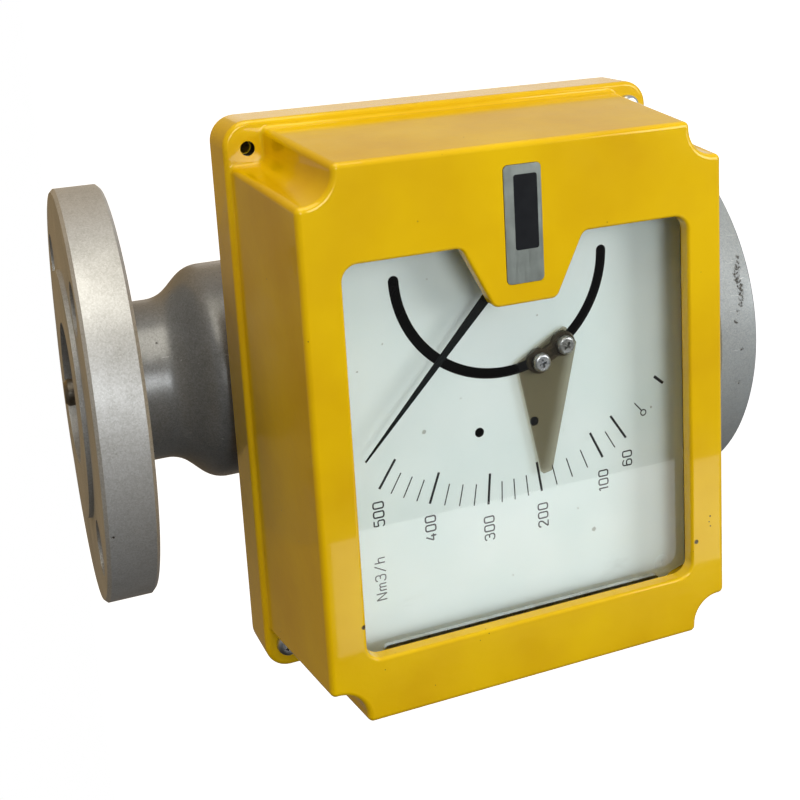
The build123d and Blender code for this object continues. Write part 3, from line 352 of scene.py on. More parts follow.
@dataclass(frozen=True)
class SilverPaint:
    """Metallic silver paint: fine sparkle, scuffs and pits."""

    name: str
    colour: Colour
    dark: Colour
    pits: tuple[Spot, ...]
    dents: tuple[Spot, ...] = ()
    rough: float = 0.42
    relief: float = 0.02
    metal: float = 0.55
    sparkle: float = 0.32
    flakes: Colour = (0.86, 0.88, 0.9)
    scuffed: Colour = (0.78, 0.79, 0.8)
    rusted: Colour = shade(58, 54, 48)
    cloud_grain: float = 26.0
    flake_grain: float = 0.45
    peel_grain: float = 1.1
    dent_depth: float = 0.6
    pit_depth: float = 0.2

    def material(self) -> Material:
        """Builds the finish."""
        paint = Surface(self.name)
        cloud = paint.levels(paint.noise(self.cloud_grain, 5.0, 0.6), 0.35, 0.72)
        flake = paint.levels(paint.cells(self.flake_grain).outputs["Color"], 0.0, 1.0, 0.0, self.sparkle)
        tone = paint.blend(cloud, self.colour, self.dark)
        lit = paint.blend(flake, tone, self.flakes)
        scuff_lines = paint.noise(1.2, 3.0, 0.7, paint.stretched((1.0, 1.0, 0.12)))
        scuffs = paint.combine(
            "MULTIPLY",
            paint.levels(scuff_lines, 0.66, 0.7),
            paint.levels(paint.noise(30.0, 1.0), 0.52, 0.6, 0.0, 0.5),
        )
        frayed = paint.levels(paint.noise(1.1, 4.0, 0.75), 0.46, 0.56)
        marks = paint.combine("MULTIPLY", paint.spots(self.pits, 2.0), frayed)
        worn = paint.blend(scuffs, lit, self.scuffed)
        paint.drive("Base Color", paint.blend(marks, worn, self.rusted))
        paint.drive("Roughness", paint.levels(cloud, 0.0, 1.0, self.rough, self.rough + 0.14))
        paint.set(Metallic=self.metal, Specular_IOR_Level=0.5)
        peel = paint.bump(paint.noise(self.peel_grain, 3.0), self.relief)
        dented = peel
        if self.dents:
            dented = paint.bump(paint.spots(self.dents, 1.2), -self.dent_depth, peel)
        paint.drive("Normal", paint.bump(marks, -self.pit_depth, dented))
        return paint.material


@dataclass(frozen=True)
class TurnedMetal:
    """Bare or plated metal with the fine marks of its tool, and stains."""

    name: str
    colour: Colour
    stain: Colour
    rough: float = 0.3
    stretch: Place = (1.0, 1.0, 8.0)
    mark_grain: float = 0.9
    mark_depth: float = 0.02
    stain_grain: float = 7.0

    def material(self) -> Material:
        """Builds the finish."""
        metal = Surface(self.name)
        marks = metal.noise(self.mark_grain, 3.0, 0.6, metal.stretched(self.stretch))
        cloud = metal.levels(metal.noise(self.stain_grain, 4.0), 0.45, 0.8)
        metal.drive("Base Color", metal.blend(cloud, self.colour, self.stain))
        metal.drive("Roughness", metal.levels(marks, 0.3, 0.7, self.rough, self.rough + 0.16))
        metal.set(Metallic=1.0)
        metal.drive("Normal", metal.bump(marks, self.mark_depth))
        return metal.material


@dataclass(frozen=True)
class Moulded:
    """Dull plastic, rubber or flat paint with a fine grain."""

    name: str
    colour: Colour
    worn: Colour
    rough: float = 0.55
    grain: float = 0.5
    relief: float = 0.02
    shine: float = 0.5
    cloud_grain: float = 6.0

    def material(self) -> Material:
        """Builds the finish."""
        plastic = Surface(self.name)
        cloud = plastic.levels(plastic.noise(self.cloud_grain, 4.0), 0.4, 0.8)
        plastic.drive("Base Color", plastic.blend(cloud, self.colour, self.worn))
        plastic.drive("Roughness", plastic.levels(cloud, 0.0, 1.0, self.rough, self.rough + 0.1))
        plastic.set(Specular_IOR_Level=self.shine)
        plastic.drive("Normal", plastic.bump(plastic.noise(self.grain), self.relief))
        return plastic.material


@dataclass(frozen=True)
class DialEnamel:
    """Pale satin enamel of the scale plate, with specks, smears and a chip."""

    name: str = "dial_enamel"
    colour: Colour = shade(233, 244, 241)
    cloudy: Colour = shade(225, 239, 236)
    dirt: Colour = shade(120, 116, 96)
    cloud_grain: float = 30.0
    dot_grain: float = 5.0
    smear_grain: float = 9.0
    smear_stretch: Place = (1.0, 1.0, 0.35)
    smear_turn: Place = (0.0, 35.0, 0.0)
    skin_grain: float = 1.4
    skin_depth: float = 0.006
    marks: tuple[Spot, ...] = (
        (1.9, DIAL_Y, 149.5, 0.8),
        (-45.0, DIAL_Y, 89.4, 0.9),
        (-36.1, DIAL_Y, 95.3, 0.3),
        (-54.4, DIAL_Y, 120.6, 0.3),
        (33.0, DIAL_Y, 161.7, 0.3),
        (33.7, DIAL_Y, 108.0, 0.35),
        (-5.6, DIAL_Y, 66.0, 0.45),
        (51.4, DIAL_Y, 145.6, 0.3),
        (25.5, DIAL_Y, 170.4, 0.4),
        (10.7, DIAL_Y, 136.2, 0.3),
    )

    def material(self) -> Material:
        """Builds the finish."""
        enamel = Surface(self.name)
        cloud = enamel.levels(enamel.noise(self.cloud_grain, 3.0), 0.4, 0.7)
        tone = enamel.blend(cloud, self.colour, self.cloudy)
        dots = enamel.levels(enamel.cells(self.dot_grain).outputs["Distance"], 0.02, 0.045, 1.0, 0.0)
        few = enamel.levels(enamel.noise(11.0, 1.0), 0.62, 0.66, 0.0, 0.6)
        lean = enamel.stretched(self.smear_stretch, self.smear_turn)
        smears = enamel.levels(enamel.noise(self.smear_grain, 5.0, 0.65, lean), 0.64, 0.8, 0.0, 0.16)
        specks = enamel.combine("MAXIMUM", enamel.combine("MULTIPLY", dots, few), smears)
        chips = enamel.levels(enamel.spots(self.marks, 0.6), 0.0, 1.0, 0.0, 0.6)
        dirty = enamel.combine("MAXIMUM", specks, chips)
        enamel.drive("Base Color", enamel.blend(dirty, tone, self.dirt))
        enamel.drive("Roughness", enamel.levels(cloud, 0.0, 1.0, 0.42, 0.5))
        enamel.drive("Normal", enamel.bump(enamel.noise(self.skin_grain), self.skin_depth))
        return enamel.material


@dataclass(frozen=True)
class BrushedPlate:
    """Brushed aluminium of the nameplate, with its lines along the plate."""

    name: str = "brushed_plate"
    colour: Colour = shade(158, 165, 160)
    dull: Colour = shade(136, 143, 138)
    line_grain: float = 0.35
    line_stretch: Place = (0.06, 1.0, 1.0)
    line_depth: float = 0.012
    cloud_grain: float = 8.0

    def material(self) -> Material:
        """Builds the finish."""
        plate = Surface(self.name)
        lines = plate.noise(self.line_grain, 3.0, 0.6, plate.stretched(self.line_stretch))
        cloud = plate.levels(plate.noise(self.cloud_grain, 4.0), 0.35, 0.7)
        plate.drive("Base Color", plate.blend(cloud, self.colour, self.dull))
        plate.drive("Roughness", plate.levels(lines, 0.3, 0.7, 0.3, 0.46))
        plate.set(Metallic=0.85)
        plate.drive("Normal", plate.bump(lines, self.line_depth))
        return plate.material


@dataclass(frozen=True)
class Pane:
    """A clear or smoked sheet: what is behind shows through its tint, and its face mirrors the room."""

    name: str
    tint: Colour
    rough: float = 0.02
    clouded: float = 0.86
    index: float = 1.5
    haze_grain: float = 14.0

    def material(self) -> Material:
        """Builds the finish."""
        pane = Surface(self.name)
        pane.nodes.remove(pane.shader)
        clear = pane.nodes.new("ShaderNodeBsdfTransparent")
        haze = pane.levels(pane.noise(self.haze_grain, 4.0), 0.4, 0.75, 0.0, 0.06)
        clouded = pane.blend(haze, self.tint, tuple(self.clouded * level for level in self.tint))
        pane.links.new(clouded, clear.inputs["Color"])
        mirror = pane.nodes.new("ShaderNodeBsdfGlossy")
        mirror.inputs["Color"].default_value = (1.0, 1.0, 1.0, 1.0)
        mirror.inputs["Roughness"].default_value = self.rough
        fresnel = pane.nodes.new("ShaderNodeFresnel")
        fresnel.inputs["IOR"].default_value = self.index
        inner_side = pane.nodes.new("ShaderNodeNewGeometry").outputs["Backfacing"]
        outer_side = pane.levels(inner_side, 0.0, 1.0, 1.0, 0.0)
        both = pane.nodes.new("ShaderNodeMixShader")
        pane.links.new(pane.combine("MULTIPLY", fresnel.outputs["Fac"], outer_side), both.inputs["Fac"])
        pane.links.new(clear.outputs["BSDF"], both.inputs[1])
        pane.links.new(mirror.outputs["BSDF"], both.inputs[2])
        pane.links.new(both.outputs["Shader"], pane.output.inputs["Surface"])
        return pane.material


class Slot(Enum):
    """The record's material slots, each with its finish."""

    FLANGE_PAINT = SilverPaint(
        "flange_silver", shade(178, 178, 176), shade(156, 155, 151),
        (
            (32.7, -68.8, 7.3, 0.8), (14.6, -74.8, 7.9, 0.6), (7.4, -75.8, 9.7, 0.5),
            (-2.0, -76.2, 9.1, 0.6), (-15.6, -74.6, 9.2, 0.6), (-25.5, -71.8, 246.0, 0.6),
            (3.4, -76.1, 242.8, 0.3), (-4.9, -76.0, 243.0, 0.3), (-36.1, -67.1, 244.3, 0.5),
        ),
    )
    TUBE_PAINT = SilverPaint(
        "tube_silver", shade(120, 121, 121), shade(96, 96, 94),
        ((1.5, -35.0, 212.9, 0.8), (20.4, -22.3, 219.2, 0.4), (-0.8, -35.0, 214.5, 0.5)),
        dents=((3.2, -34.9, 214.1, 2.2),), rough=0.26, metal=0.4, sparkle=0.12,
    )
    CONE_STEEL = TurnedMetal("turned_steel", shade(190, 190, 188), shade(160, 158, 152), rough=0.28)
    ROD_STEEL = TurnedMetal("stained_steel", shade(150, 146, 138), shade(92, 82, 66))
    MAGNET = Moulded(
        "sintered_magnet", shade(70, 70, 74), shade(84, 82, 82), rough=0.5, grain=0.3, relief=0.03
    )
    YELLOW_PAINT = CastPaint()
    NAMEPLATE_METAL = BrushedPlate()
    SEAL_RUBBER = Moulded("black_rubber", shade(28, 28, 28), shade(46, 45, 43), rough=0.6)
    WINDOW_GLASS = Pane("window_pane", (0.99, 0.995, 0.993))
    ZINC = TurnedMetal(
        "zinc_plate", shade(200, 202, 204), shade(158, 156, 148), rough=0.24, stretch=(1.0, 1.0, 1.0)
    )
    GLAND_PLASTIC = Moulded("gland_plastic", shade(38, 38, 40), shade(58, 57, 56), rough=0.45)
    DIAL_WHITE = DialEnamel()
    # The plates behind the dial are near black: painted shade that makes the dial's slot and holes look
    # dark.
    PLATE_ALUMINIUM = TurnedMetal("aluminium_painted_shade_black", shade(26, 26, 28), shade(20, 20, 20), rough=0.6)
    BEARING_BRASS = TurnedMetal("bearing_brass", shade(204, 172, 104), shade(150, 118, 64), rough=0.28)
    SPINDLE_STEEL = TurnedMetal("ground_steel", shade(196, 196, 196), shade(168, 166, 160), rough=0.2)
    POINTER_BLACK = Moulded(
        "pointer_black", shade(12, 16, 16), shade(20, 24, 24), rough=0.5, grain=0.4, relief=0.008, shine=0.08
    )
    MARKER_SMOKE = Pane("smoked_sheet", (0.67, 0.63, 0.55), rough=0.12)
    CLAMP_DARK = Moulded("clamp_dark", shade(104, 100, 90), shade(120, 116, 106), rough=0.42)
    SWITCH_PLASTIC = Moulded("switch_plastic", shade(44, 74, 118), shade(60, 88, 128), rough=0.45)


# Inlet flange paint: a darker, less metallic copy of the flange paint whose darker colours are painted
# shade; its pits are real wear.
SHADED_INLET_SILVER = SilverPaint(
    "inlet_silver_painted_shade", shade(148, 154, 156), shade(136, 141, 142),
    (
        (31.8, -69.3, 5.8, 0.9), (30.0, -70.0, 5.9, 0.9), (28.0, -70.9, 7.0, 1.5), (26.0, -71.6, 8.1, 1.6),
        (23.8, -72.4, 8.2, 1.5), (21.6, -73.1, 7.4, 1.4), (19.4, -73.7, 7.5, 1.4), (17.2, -74.2, 7.9, 1.3),
        (15.1, -74.7, 8.3, 1.1), (12.3, -75.2, 10.0, 0.9), (8.8, -75.7, 11.3, 0.8), (-2.0, -76.2, 9.1, 0.7),
        (-15.6, -74.6, 9.2, 0.6),
    ),
    metal=0.3, sparkle=0.16,
)
# Dull black on the case's inner faces: painted shade for the dark inside of the case.
INSIDE_SHADE_BLACK = Moulded("case_inside_painted_shade", shade(20, 20, 20), shade(28, 28, 27), rough=0.7)
# Dull black on the walls of holes: painted shade for the dark inside of the holes.
HOLE_SHADE_BLACK = Moulded("hole_wall_painted_shade", shade(18, 18, 18), shade(26, 26, 25), rough=0.6)


class FinishShop:
    """Makes each finish once and puts it on the pieces."""

    def __init__(self) -> None:
        """Starts with no finish made."""
        self.made: dict[str, Material] = {}

    def get(self, finish) -> Material:
        """The material of a finish, made the first time it is asked for.

        Args:
            finish: one of the finish classes' objects.

        Returns:
            Its material.
        """
        if finish.name not in self.made:
            self.made[finish.name] = finish.material()
        return self.made[finish.name]

    def dress_nodes(self) -> None:
        """Gives every CAD node the finish of its material slot."""
        for name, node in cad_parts.items():
            slot = Slot[node.data.materials[0].name.split(".")[0].upper()]
            # The inlet flange takes the darker copy of the flange paint: painted shade.
            finish = SHADED_INLET_SILVER if name == "inlet_flange" else slot.value
            node.data.materials[0] = self.get(finish)
            if name == "back_case":
                self.paint_inside_shade(node)
            if name in ("inlet_flange", "outlet_flange"):
                self.paint_neck(node)
            if name == "front_cover":
                self.paint_ear_hole_shade(node)
            log.info("%s: %s", name, finish.name)

    def paint_neck(self, flange: Piece) -> None:
        """Gives the flange's neck, between the two flange discs, the darker paint of the tube.

        Args:
            flange: the flange.
        """
        flange.data.materials.append(self.get(Slot.TUBE_PAINT.value))
        for face in flange.data.polygons:
            if NECK_LOW * MM < face.center.z < NECK_HIGH * MM:
                face.material_index = 1

    def paint_ear_hole_shade(self, cover: Piece) -> None:
        """Paints shade on the walls of the screw holes in the cover's ears: a dull black that stands for the
        dark inside of the holes.

        Args:
            cover: the front cover.
        """
        cover.data.materials.append(self.get(HOLE_SHADE_BLACK))
        for face in cover.data.polygons:
            aside_x = abs(face.center.x / MM - CASE_X) - EAR_X
            aside_z = abs(face.center.z / MM - CASE_Z) - EAR_Z
            if math.hypot(aside_x, aside_z) < EAR_HOLE and abs(face.normal.y) < SIDE_ON:
                face.material_index = 1

    def paint_inside_shade(self, case: Piece) -> None:
        """Paints shade on the inner faces of the case: a dull black that stands for the dark inside of the
        case.

        Args:
            case: the tray, whose inner faces look towards its middle or, on its floor, to the front.
        """
        case.data.materials.append(self.get(INSIDE_SHADE_BLACK))
        middle = metres((CASE_X, 0.0, CASE_Z))
        rim_y = min(vertex.co.y for vertex in case.data.vertices)
        below_rim = rim_y + RIM_DEPTH * MM
        floor = [
            face for face in case.data.polygons if face.normal.y < -LOOKS_ALONG and face.center.y > below_rim
        ]
        floor_y = max(floor, key=lambda face: face.area).center.y
        deepest = floor_y + 0.1 * MM
        walls = [
            face for face in case.data.polygons
            if abs(face.normal.y) < LOOKS_ALONG
            and (middle - face.center).dot(face.normal * Vector((1.0, 0.0, 1.0))) > 0
        ]
        for face in (*floor, *walls):
            if rim_y < face.center.y < deepest:
                face.material_index = 1

    def dress(self, piece: Piece, body: str, slot: Slot, finish=None) -> None:
        """Puts a finish on a new piece and ties it to its body.

        Args:
            piece: the new piece.
            body: the CAD body that it rides on.
            slot: the material slot whose finish it takes when no finish is given.
            finish: the finish, or None for the slot's own.
        """
        piece.data.materials.clear()
        piece.data.materials.append(self.get(finish or slot.value))
        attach(piece, body)
        log.info("%s: %d faces", piece.name, len(piece.data.polygons))


def only(piece: Piece) -> None:
    """Selects one piece and nothing else, and makes it the active one."""
    bpy.ops.object.select_all(action="DESELECT")
    piece.select_set(True)
    bpy.context.view_layer.objects.active = piece


def pick(piece: Piece, kind: str, test: Callable[[Vector, Vector], bool]) -> None:
    """Selects the edges or faces of a piece in edit mode by their place and normal.

    Args:
        piece: the piece, in edit mode.
        kind: "EDGE" or "FACE".
        test: takes the middle and the normal (an edge's direction), and says which are chosen.
    """
    bpy.ops.mesh.select_mode(type=kind)
    bpy.ops.mesh.select_all(action="DESELECT")
    mesh = bmesh.from_edit_mesh(piece.data)
    if kind == "FACE":
        for face in mesh.faces:
            face.select_set(test(face.calc_center_median(), face.normal))
    else:
        for edge in mesh.edges:
            first, second = (vertex.co for vertex in edge.verts)
            edge.select_set(test((first + second) / 2, (second - first).normalized()))
    mesh.select_flush_mode()
    bmesh.update_edit_mesh(piece.data)


def smooth(piece: Piece, degrees: float = 35.0) -> None:
    """Shades a piece smooth except over sharp edges."""
    only(piece)
    bpy.ops.object.shade_smooth_by_angle(angle=math.radians(degrees))


@dataclass(frozen=True)
class Stroke:
    """One pen stroke of a figure.

    Attributes:
        points: its control points, in cap heights.
        closed: whether it runs back to its start.
        bent: whether it rounds its corners.
    """

    points: tuple[tuple[float, float], ...]
    closed: bool = False
    bent: bool = True


def straight(*points: tuple[float, float]) -> Stroke:
    """A stroke that goes straight from point to point."""
    return Stroke(points, bent=False)


def curved(*points: tuple[float, float]) -> Stroke:
    """An open stroke that rounds its corners."""
    return Stroke(points)


STADIUM = (
    (0.0, 0.36), (0.0, 0.64), (0.0, 1.0), (0.58, 1.0), (0.58, 0.64), (0.58, 0.36), (0.58, 0.0), (0.0, 0.0),
)
FIGURES: dict[str, tuple[float, tuple[Stroke, ...]]] = {
    "0": (0.58, (Stroke(STADIUM, closed=True),)),
    "1": (0.36, (straight((0.06, 0.84), (0.3, 1.0)), straight((0.3, 1.0), (0.3, 0.0)))),
    "2": (0.58, (
        curved((0.0, 0.74), (0.0, 1.0), (0.56, 1.0), (0.58, 0.62), (0.3, 0.36), (0.0, 0.02)),
        straight((0.0, 0.0), (0.6, 0.0)),
    )),
    "3": (0.56, (
        curved((0.0, 0.8), (0.02, 1.0), (0.54, 1.0), (0.54, 0.54), (0.3, 0.54), (0.2, 0.54)),
        curved((0.2, 0.54), (0.3, 0.54), (0.57, 0.54), (0.57, 0.0), (0.0, 0.0), (0.0, 0.2)),
    )),
    "4": (0.62, (
        straight((0.36, 1.0), (0.0, 0.28)),
        straight((0.0, 0.28), (0.64, 0.28)),
        straight((0.46, 0.52), (0.46, 0.0)),
    )),
    "5": (0.56, (
        straight((0.54, 1.0), (0.06, 1.0)),
        straight((0.06, 1.0), (0.03, 0.56)),
        curved((0.03, 0.56), (0.2, 0.62), (0.57, 0.62), (0.57, 0.3), (0.57, 0.0), (0.0, 0.0), (0.0, 0.18)),
    )),
    "6": (0.58, (
        curved((0.54, 0.84), (0.5, 1.0), (0.0, 1.0), (0.0, 0.5), (0.0, 0.3)),
        Stroke(((0.0, 0.3), (0.0, 0.58), (0.58, 0.58), (0.58, 0.0), (0.0, 0.0)), closed=True),
    )),
    "N": (0.62, (
        straight((0.0, 0.0), (0.0, 1.0)),
        straight((0.0, 1.0), (0.6, 0.0)),
        straight((0.6, 0.0), (0.6, 1.0)),
    )),
    "m": (0.66, (
        straight((0.0, 0.0), (0.0, 0.62)),
        curved((0.0, 0.46), (0.06, 0.64), (0.33, 0.64), (0.33, 0.4), (0.33, 0.0)),
        curved((0.33, 0.46), (0.39, 0.64), (0.66, 0.64), (0.66, 0.4), (0.66, 0.0)),
    )),
    "/": (0.6, (straight((0.0, -0.04), (0.6, 1.04)),)),
    "h": (0.46, (
        straight((0.0, 0.0), (0.0, 1.0)),
        curved((0.0, 0.44), (0.08, 0.64), (0.46, 0.64), (0.46, 0.4), (0.46, 0.0)),
    )),
}


class PenWork:
    """Flat pen work on the dial: strokes of even width that become one thin mesh."""

    def __init__(self, name: str, relief: float) -> None:
        """Starts an empty curve.

        Args:
            name: the piece's name.
            relief: how far the ink stands on the plate, as a share of half a stroke's width.
        """
        self.relief = relief
        self.curve = bpy.data.curves.new(name, "CURVE")
        self.curve.dimensions = "3D"
        self.curve.bevel_depth = MM
        self.curve.bevel_resolution = 1
        self.curve.resolution_u = 6
        self.curve.use_fill_caps = True

    def stroke(
        self, points: Sequence[tuple[float, float]], width: float, closed: bool = False, bent: bool = False
    ) -> None:
        """Adds one stroke.

        Args:
            points: its control points as X and Z on the dial.
            width: the stroke's width.
            closed: whether it runs back to its start.
            bent: whether it rounds its corners.
        """
        spline = self.curve.splines.new("NURBS" if bent else "POLY")
        spline.points.add(len(points) - 1)
        for target, (x, z) in zip(spline.points, points):
            target.co = (*metres((x, DIAL_Y, z)), 1.0)
            target.radius = width / 2
        spline.use_cyclic_u = closed
        if bent:
            spline.order_u = 3
            spline.use_endpoint_u = not closed

    def write(self, text: str, centre: tuple[float, float], height: float, width: float, gap: float) -> None:
        """Writes plain figures, upright and reading along X.

        Args:
            text: what is written.
            centre: X and Z of its middle.
            height: the height of a figure.
            width: the width of a stroke.
            gap: the space between figures, in cap heights.
        """
        length = sum(FIGURES[figure][0] for figure in text) + gap * (len(text) - 1)
        pen = centre[0] - length * height / 2
        base = centre[1] - height / 2
        for figure in text:
            advance, strokes = FIGURES[figure]
            for line in strokes:
                points = [(pen + x * height, base + z * height) for x, z in line.points]
                self.stroke(points, width, line.closed, line.bent)
            pen += (advance + gap) * height

    def finish(self) -> Piece:
        """Turns the strokes into a mesh that lies flat on the dial.

        Returns:
            The finished piece.
        """
        piece = bpy.data.objects.new(self.curve.name, self.curve)
        bpy.context.scene.collection.objects.link(piece)
        only(piece)
        bpy.ops.object.convert(target="MESH")
        bpy.ops.object.mode_set(mode="EDIT")
        bpy.ops.mesh.select_all(action="SELECT")
        bpy.ops.transform.resize(value=(1.0, self.relief, 1.0), center_override=metres((0.0, DIAL_Y, 0.0)))
        bpy.ops.object.mode_set(mode="OBJECT")
        return piece


@dataclass
class Dial:
    """Print of the scale plate: scale marks, numbers and the unit."""

    outer: float = 80.95
    long_inner: float = 70.35
    short_inner: float = 73.65
    long_width: float = 0.95
    short_width: float = 0.46
    zero_width: float = 1.1875
    figure_height: float = 3.5
    figure_gap: float = 0.3
    long_marks: tuple[float, ...] = (-124.0, -110.6, -95.6, -81.63, -64.3, -56.85)
    short_marks: tuple[float, ...] = (
        -120.8, -117.45, -113.97, -106.8, -103.0, -99.25, -92.07, -88.7, -85.2, -77.5, -73.2, -68.8, -60.45,
    )
    limit_angle: float = -49.5
    limit_inner: float = 73.8
    limit_outer: float = 78.05
    limit_ring: float = 1.0
    ring_radius: float = 1.05
    zero_angle: float = -40.7
    zero_outer: float = 78.2
    numbers: tuple[tuple[str, float, float, float], ...] = (
        ("500", -46.0, -28.7, 0.52),
        ("400", -28.6, -37.4, 0.54),
        ("300", -7.9, -42.1, 0.5),
        ("200", 11.9, -41.9, 0.5),
        ("100", 35.2, -34.6, 0.5),
        ("60", 44.6, -28.4, 0.5),
    )
    unit: tuple[str, float, float, float] = ("Nm3/h", -46.7, -50.7, 0.42)

    def at(self, radius: float, angle: float) -> tuple[float, float]:
        """X and Z of a place on the dial from its radius and angle at the pivot."""
        turn = math.radians(angle)
        return PIVOT_X + radius * math.sin(turn), CASE_Z - radius * math.cos(turn)

    def build(self, shop: FinishShop) -> None:
        """Prints the dial.

        Args:
            shop: where the finishes come from.
        """
        ink = Moulded(
            "dial_ink", shade(22, 24, 26), shade(36, 38, 40), rough=0.5, grain=0.3, relief=0.002
        )
        scale = PenWork("scale_marks", INK_RELIEF)
        marks = [
            *((angle, self.long_inner, self.outer, self.long_width) for angle in self.long_marks),
            *((angle, self.short_inner, self.outer, self.short_width) for angle in self.short_marks),
            (self.zero_angle, self.short_inner, self.zero_outer, self.zero_width),
            (self.limit_angle, self.limit_inner, self.limit_outer, self.short_width),
        ]
        for angle, inner, outer, width in marks:
            scale.stroke([self.at(inner, angle), self.at(outer, angle)], width)
        middle = self.at(self.limit_outer + self.limit_ring, self.limit_angle)
        ring = [
            (middle[0] + self.ring_radius * math.cos(turn), middle[1] + self.ring_radius * math.sin(turn))
            for turn in (math.radians(30 * step) for step in range(12))
        ]
        scale.stroke(ring, self.short_width, closed=True, bent=True)
        shop.dress(scale.finish(), "frame", Slot.DIAL_WHITE, ink)
        numbers = PenWork("scale_numbers", INK_RELIEF)
        for text, right, up, width in (*self.numbers, self.unit):
            numbers.write(text, (up + CASE_X, CASE_Z - right), self.figure_height, width, self.figure_gap)
        shop.dress(numbers.finish(), "frame", Slot.DIAL_WHITE, ink)


def box(name: str, size: Place, middle: Place, turn: float = 0.0) -> Piece:
    """A box to start a piece from, left in edit mode.

    Args:
        name: the piece's name.
        size: its extents.
        middle: its middle.
        turn: how far it is turned round Z, in degrees.

    Returns:
        The box.
    """
    bpy.ops.mesh.primitive_cube_add(size=1.0, rotation=(0.0, 0.0, math.radians(turn)))
    piece = bpy.context.object
    piece.name = name
    piece.scale = metres(size)
    piece.location = metres(middle)
    bpy.ops.object.transform_apply(location=True, rotation=True, scale=True)
    bpy.ops.object.mode_set(mode="EDIT")
    return piece


def rod(x: float, z: float, diameter: float, length: float) -> Piece:
    """A round rod through the dial's face, along Y.

    Args:
        x, z: its place on the dial.
        diameter: its diameter.
        length: its length, half of it on each side of the face.

    Returns:
        The rod.
    """
    bpy.ops.mesh.primitive_cylinder_add(
        vertices=48, radius=diameter / 2 * MM, depth=length * MM, location=metres((x, DIAL_Y, z)),
        rotation=(math.radians(90), 0.0, 0.0),
    )
    bpy.ops.object.transform_apply(location=True, rotation=True)
    return bpy.context.object


def at_pivot(radius: float, angle: float) -> tuple[float, float]:
    """X and Z of a place at a radius from the pivot, at an angle from +X towards +Z."""
    turn = math.radians(angle)
    return PIVOT_X + radius * math.cos(turn), CASE_Z + radius * math.sin(turn)


def hang(piece: Piece, y: float, angle: float) -> None:
    """Turns a mesh that was modelled along +X at the origin, and moves it to the pivot.

    Args:
        piece: the piece.
        y: the pivot's place along Y.
        angle: where the piece points, from +X towards +Z.
    """
    turn = Matrix.Rotation(math.radians(angle), 4, Vector((0.0, -1.0, 0.0)))
    piece.data.transform(Matrix.Translation(metres((PIVOT_X, y, CASE_Z))) @ turn)


def carve(piece: Piece, tools: Sequence[Piece], operation: str = "DIFFERENCE") -> None:
    """Cuts tools out of a piece, or joins them to it, and throws the tools away.

    Args:
        piece: the piece.
        tools: the tools, in their order.
        operation: "DIFFERENCE" to cut, "UNION" to join.
    """
    for tool in tools:
        step = piece.modifiers.new("carve", "BOOLEAN")
        step.operation = operation
        step.object = tool
        only(piece)
        bpy.ops.object.modifier_apply(modifier="carve")
        bpy.data.objects.remove(tool)


@dataclass
class DialPlate:
    """Scale plate that runs on under the cover's rims, with its arc slot and its holes."""

    half_x: float = 80.0
    half_z: float = 67.0
    corner: float = 3.0
    scallop: float = 24.6
    scallop_x: float = 85.0
    scallop_z: float = 68.4
    thickness: float = 1.5
    slot_radius: float = 36.45
    slot_width: float = 3.5
    slot_from: float = 91.45
    slot_to: float = 268.25
    spindle_hole: float = 8.0
    dot_hole: float = 3.2
    dots: tuple[tuple[float, float], ...] = ((-2.1, 130.3), (-2.1, 110.5))
    cut_length: float = 8.0
    holes_within: tuple[float, float] = (60.0, 46.9)

    def arc(self) -> Piece:
        """Cutter of the slot between its round ends: a small square spun round the pivot.

        Returns:
            The cutter.
        """
        bpy.ops.mesh.primitive_plane_add(size=1.0)
        arc = bpy.context.object
        arc.scale = metres((self.slot_width, self.cut_length, 1.0))
        arc.location = metres((self.slot_radius, 0.0, 0.0))
        bpy.ops.object.transform_apply(location=True, scale=True)
        hang(arc, DIAL_Y, self.slot_from)
        bpy.ops.object.mode_set(mode="EDIT")
        bpy.ops.mesh.select_all(action="SELECT")
        sweep = math.radians(self.slot_to - self.slot_from)
        pivot = metres((PIVOT_X, DIAL_Y, CASE_Z))
        bpy.ops.mesh.spin(steps=80, angle=sweep, center=pivot, axis=(0.0, 1.0, 0.0))
        bpy.ops.mesh.select_all(action="SELECT")
        bpy.ops.mesh.normals_make_consistent(inside=False)
        bpy.ops.object.mode_set(mode="OBJECT")
        return arc

    def build(self, shop: FinishShop) -> None:
        """Makes the plate.

        Args:
            shop: where the finishes come from.
        """
        size = (2 * self.half_x, self.thickness, 2 * self.half_z)
        plate = box("dial_plate", size, (CASE_X, DIAL_Y + self.thickness / 2, CASE_Z))
        pick(plate, "EDGE", lambda middle, along: abs(along.y) > LOOKS_ALONG)
        bpy.ops.mesh.bevel(offset=self.corner * MM, segments=6)
        bpy.ops.object.mode_set(mode="OBJECT")
        ends = [
            rod(*at_pivot(self.slot_radius, angle), self.slot_width, self.cut_length)
            for angle in (self.slot_from, self.slot_to)
        ]
        holes = [rod(x, z, self.dot_hole, self.cut_length) for x, z in self.dots]
        spindle = rod(PIVOT_X, CASE_Z, self.spindle_hole, self.cut_length)
        scallops = [
            rod(CASE_X + x * self.scallop_x, CASE_Z + z * self.scallop_z, self.scallop, self.cut_length)
            for x in (-1, 1) for z in (-1, 1)
        ]
        carve(plate, [self.arc(), *ends, *holes, spindle, *scallops])
        smooth(plate)
        shop.dress(plate, "frame", Slot.DIAL_WHITE)
        # The side walls of the slot and holes in the middle of the plate get dull black: painted shade.
        plate.data.materials.append(shop.get(HOLE_SHADE_BLACK))
        for face in plate.data.polygons:
            aside = face.center / MM - Vector((CASE_X, DIAL_Y, CASE_Z))
            central = abs(aside.x) < self.holes_within[0] and abs(aside.z) < self.holes_within[1]
            if central and abs(face.normal.y) < SIDE_ON:
                face.material_index = 1
        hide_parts("scale_plate")


